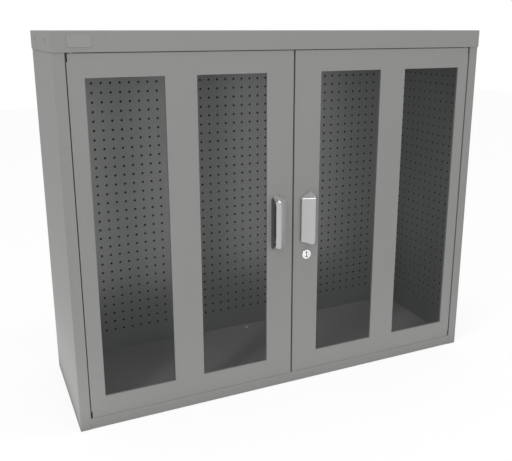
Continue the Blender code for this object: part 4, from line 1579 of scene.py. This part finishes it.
@dataclass
class Fittings:
    """Hinges, catches, stops and the slide bolt, which keep the frame's shapes."""

    guide_edge: float = 0.0006
    bolt_edge: float = 0.0005

    def build(self) -> None:
        """Dress the fittings."""
        for side in Side:
            for end in End:
                dress_node(f"{side.word}_hinge_plate_{end.value}", ZINC)
                dress_node(f"{side.word}_hinge_pin_{end.value}", ZINC)
            dress_node(f"{side.word}_magnetic_catch", NYLON)
            dress_node(f"{side.word}_door_stop", RUBBER)
        dress_node("bolt_guide", ZINC, self.guide_edge)
        dress_node("slide_bolt", ZINC, self.bolt_edge)


@dataclass
class Lock:
    """Cam lock: a turned housing, a plug with a waisted keyhole, nut, cam and screw."""

    plug_radius: float = 0.0076
    plug_face: float = 0.0024
    plug_edge: float = 0.0005
    shoulder: float = 0.0004
    clearance: float = 0.0003
    barrel_radius: float = 0.0063
    body_radius: float = 0.0095
    seat: float = 0.001
    dish: float = 0.0002
    chamfer: float = 0.0004
    land: float = 0.0025
    rim: float = 0.0011
    slot_half_width: float = 0.0009
    slot_end_half_width: float = 0.0002
    slot_reach: float = 0.0057
    slot_end_radius: float = 0.0021
    slot_depth: float = 0.005
    slot_rise: float = 0.001
    margin: float = 0.0001
    steps: int = 48
    rim_steps: int = 5
    slot_steps: int = 41

    def __post_init__(self) -> None:
        """Find the lock's axis at the door's face."""
        self.low, self.high = corners_of("lock_housing")
        self.centre = centre_of("lock_housing", Axis.Y, corners_of("right_door_shell")[0][1])

    def housing(self) -> None:
        """Turned face with a rounded rim and a shallow dish, and the body behind it."""
        proud = self.centre[1] - self.low[1]
        back = self.high[1] - self.centre[1]
        outer = (self.high[0] - self.low[0]) / 2
        bore, mouth = self.barrel_radius + self.clearance, self.plug_radius + self.clearance
        profile = [(bore, back), (bore, self.seat), (mouth, self.seat),
                   (mouth, self.dish + self.chamfer - proud),
                   (mouth + self.chamfer, self.dish - proud), (outer - self.land, -proud)]
        profile += [(outer - self.rim + self.rim * math.sin(turn),
                     self.rim - proud - self.rim * math.cos(turn))
                    for turn in np.radians(np.linspace(0.0, 90.0, self.rim_steps))]
        profile += [(outer, -self.clearance), (self.body_radius, -self.clearance),
                    (self.body_radius, back)]
        skin = lathe(profile, self.centre, Axis.Y, self.steps)
        finished("lock_housing_turned", skin, "lock_housing", CHROME)

    def keyhole(self) -> Skin:
        """Cut a keyhole whose half width widens to a round end above and below.

        At height h the half width is the larger of the slot's and the circle's sqrt(r^2 - d^2),
        where d is the distance of |h| from the circle's centre.

        Returns:
            The cutter.
        """
        heights = np.linspace(-1.0, 1.0, self.slot_steps) * (self.slot_reach + self.slot_end_radius)
        off = np.abs(np.abs(heights) - self.slot_reach)
        circle = np.sqrt(np.clip(self.slot_end_radius ** 2 - off ** 2, 0.0, None))
        in_slot = np.abs(heights) < self.slot_reach + self.slot_end_radius / 2
        half = np.maximum(circle, np.where(in_slot, self.slot_half_width, self.slot_end_half_width))
        front = self.centre[1] - self.plug_face
        return tube([np.stack([self.centre[0] + sign * half, np.full_like(half, front + depth),
                               self.centre[2] + heights], axis=1)
                     for sign, depth in ((-1, -self.slot_rise), (1, -self.slot_rise),
                                         (1, self.slot_depth), (-1, self.slot_depth))])

    def plug(self) -> None:
        """Turned plug with its keyhole, whose inside is painted near-black as shade."""
        back = corners_of("lock_plug")[1][1] - self.centre[1]
        profile = [(0.0, -self.plug_face), (self.plug_radius - self.plug_edge, -self.plug_face),
                   (self.plug_radius, self.plug_edge - self.plug_face),
                   (self.plug_radius, self.shoulder), (self.barrel_radius, self.shoulder),
                   (self.barrel_radius, back), (0.0, back)]
        end = self.slot_end_radius
        reach = np.array([end, 0.0, self.slot_reach + end]) + self.margin
        front = self.centre - (0.0, self.plug_face, 0.0)
        # The patch paints shade inside the keyhole slot.
        patch = Patch(tuple(front - reach * (1.0, -1.0, 1.0)),
                      tuple(front + reach + (0.0, self.slot_depth, 0.0)), KEYHOLE_SHADE)
        finished("lock_plug_turned", lathe(profile, self.centre, Axis.Y, self.steps), "lock_plug",
                 replace(CHROME, name="chrome_keyhole", patch=patch), [self.keyhole()])

    def build(self) -> None:
        """Build the lock."""
        self.housing()
        self.plug()
        for node in ("lock_nut", "lock_cam", "cam_screw"):
            dress_node(node, ZINC)


# Studio


def aimed(place: Place, turn: float, rise: float) -> Matrix:
    """The matrix of a lamp or a camera.

    Args:
        place: Where it stands.
        turn: How far it is turned to the left from looking along +Y.
        rise: How far it looks up from level.

    Returns:
        Its place and its turn in the scene.
    """
    turned = Matrix.Rotation(turn, 4, "Z")
    tipped = Matrix.Rotation(math.pi / 2 + rise, 4, "X")
    return Matrix.Translation(place) @ turned @ tipped


def plain_rays(tree: Tree) -> Node:
    """A node whose value is one for camera, transmission and glossy rays, and zero for others.

    Args:
        tree: The nodes of the material or of the world.

    Returns:
        The node.
    """
    path = add_node(tree, "ShaderNodeLightPath")
    seen = add_node(tree, "ShaderNodeMath", "MAXIMUM")
    plain = add_node(tree, "ShaderNodeMath", "MAXIMUM")
    wire(tree, (path, "Is Camera Ray", seen, 0), (path, "Is Transmission Ray", seen, 1),
         (seen, "Value", plain, 0), (path, "Is Glossy Ray", plain, 1))
    return plain


@dataclass(frozen=True)
class Lamp:
    """A soft rectangular lamp that cameras don't see.

    Args:
        name: Name of the lamp.
        place: Its centre.
        way: The way that it shines.
        size: Its width and its length.
        glow: Its brightness, where 1 is that of a white sky.
        mirrored: Whether glossy surfaces show it.
    """

    name: str
    place: Place
    way: Place
    size: tuple[float, float]
    glow: float
    mirrored: bool = True

    def build(self) -> None:
        """Put the lamp into the scene."""
        data = bpy.data.lights.new(self.name, "AREA")
        data.shape = "RECTANGLE"
        data.size, data.size_y = self.size
        data.energy = self.glow * math.pi * self.size[0] * self.size[1]
        lamp = linked(self.name, data)
        x, y, z = self.way
        lamp.matrix_world = aimed(self.place, math.atan2(-x, y), math.atan2(z, math.hypot(x, y)))
        lamp.visible_camera = False
        lamp.visible_glossy = self.mirrored


@dataclass
class Studio:
    """Camera, floor, sky and lamps."""

    camera_place: Place = (-0.7556, -1.6321, 0.9418)
    yaw: float = 24.617
    pitch: float = 14.462
    lens: float = 46.54
    sensor: float = 36.0
    shift: tuple[float, float] = (-0.01434, -0.05906)
    sky: float = 0.69
    floor_size: float = 14.0
    floor_drop: float = 0.0006
    floor_roughness: float = 0.9
    floor_shades: tuple[float, float] = (0.80, 0.22)
    floor_glow: float = 0.82
    lamps: tuple[Lamp, ...] = (
        Lamp("front_strip", (0.0, -0.32, 0.002), (0.0, 0.0, 1.0), (1.3, 0.2), 0.447),
        Lamp("left_strip", (-0.725, 0.05, 0.002), (0.0, 0.0, 1.0), (0.25, 0.8), 1.18),
        Lamp("left_floor", (-1.35, 0.05, 0.002), (0.0, 0.0, 1.0), (1.0, 1.2), 0.654),
        Lamp("front_middle", (0.0, -2.8, 0.9), (0.0, 1.0, 0.0), (1.4, 1.4), 1.56, False),
        Lamp("front_right", (1.45, -2.7, 0.9), (-0.47, 0.88, -0.1), (0.5, 0.5), 1.8, False),
        Lamp("overhead", (0.2, -0.35, 2.6), (0.0, 0.0, -1.0), (0.5, 0.3), 14.0),
        Lamp("high_left", (-1.406, -0.946, 2.32), (0.586, 0.315, -0.747), (0.16, 0.16), 105.0),
    )

    def camera(self) -> None:
        """Set the camera where the photograph was taken from."""
        data = bpy.data.cameras.new("camera")
        data.lens = self.lens
        data.sensor_width = self.sensor
        data.shift_x, data.shift_y = self.shift
        camera = linked("camera", data)
        turn, rise = -math.radians(self.yaw), -math.radians(self.pitch)
        camera.matrix_world = aimed(self.camera_place, turn, rise)
        bpy.context.scene.camera = camera

    def world(self) -> None:
        """An even white sky, which cameras and mirrors see as plain white."""
        world = bpy.data.worlds.new("studio")
        world.use_nodes = True
        tree = world.node_tree
        back = tree.nodes["Background"]
        back.inputs["Color"].default_value = WHITE
        level = add_range(tree, self.sky, 1.0)
        wire(tree, (plain_rays(tree), "Value", level, "Value"), (level, "Result", back, "Strength"))
        bpy.context.scene.world = world

    def floor(self) -> None:
        """A pale floor, nearly white to the camera, that keeps a faint shadow."""
        half, drop = self.floor_size / 2, self.floor_drop
        corners = np.array([(-half, -half, -drop), (half, -half, -drop),
                            (half, half, -drop), (-half, half, -drop)])
        floor = piece_of("floor", Skin(corners, [np.array([[0, 1, 2, 3]])]))
        material = bpy.data.materials.new("floor_white")
        material.use_nodes = True
        tree = material.node_tree
        shader = tree.nodes["Principled BSDF"]
        set_inputs(shader, {"Roughness": self.floor_roughness, "Specular IOR Level": 0.0,
                            "Emission Color": WHITE})
        plain = plain_rays(tree)
        for limits, socket in ((self.floor_shades, "Base Color"),
                               ((0.0, self.floor_glow), "Emission Strength")):
            level = add_range(tree, *limits)
            wire(tree, (plain, "Value", level, "Value"), (level, "Result", shader, socket))
        floor.data.materials.append(material)

    def build(self) -> None:
        """Build the studio."""
        self.camera()
        self.world()
        self.floor()
        for lamp in self.lamps:
            lamp.build()
        bpy.context.scene.view_settings.view_transform = "Standard"


def main() -> None:
    """Build the cabinet and its studio."""
    logging.basicConfig(level=logging.INFO, format="%(message)s")
    doors = [Door(side) for side in Side]
    for assembly in (Studio(), Carcass(), Liners(), *doors, Fittings(), Lock()):
        assembly.build()


if __name__ == "__main__":
    main()
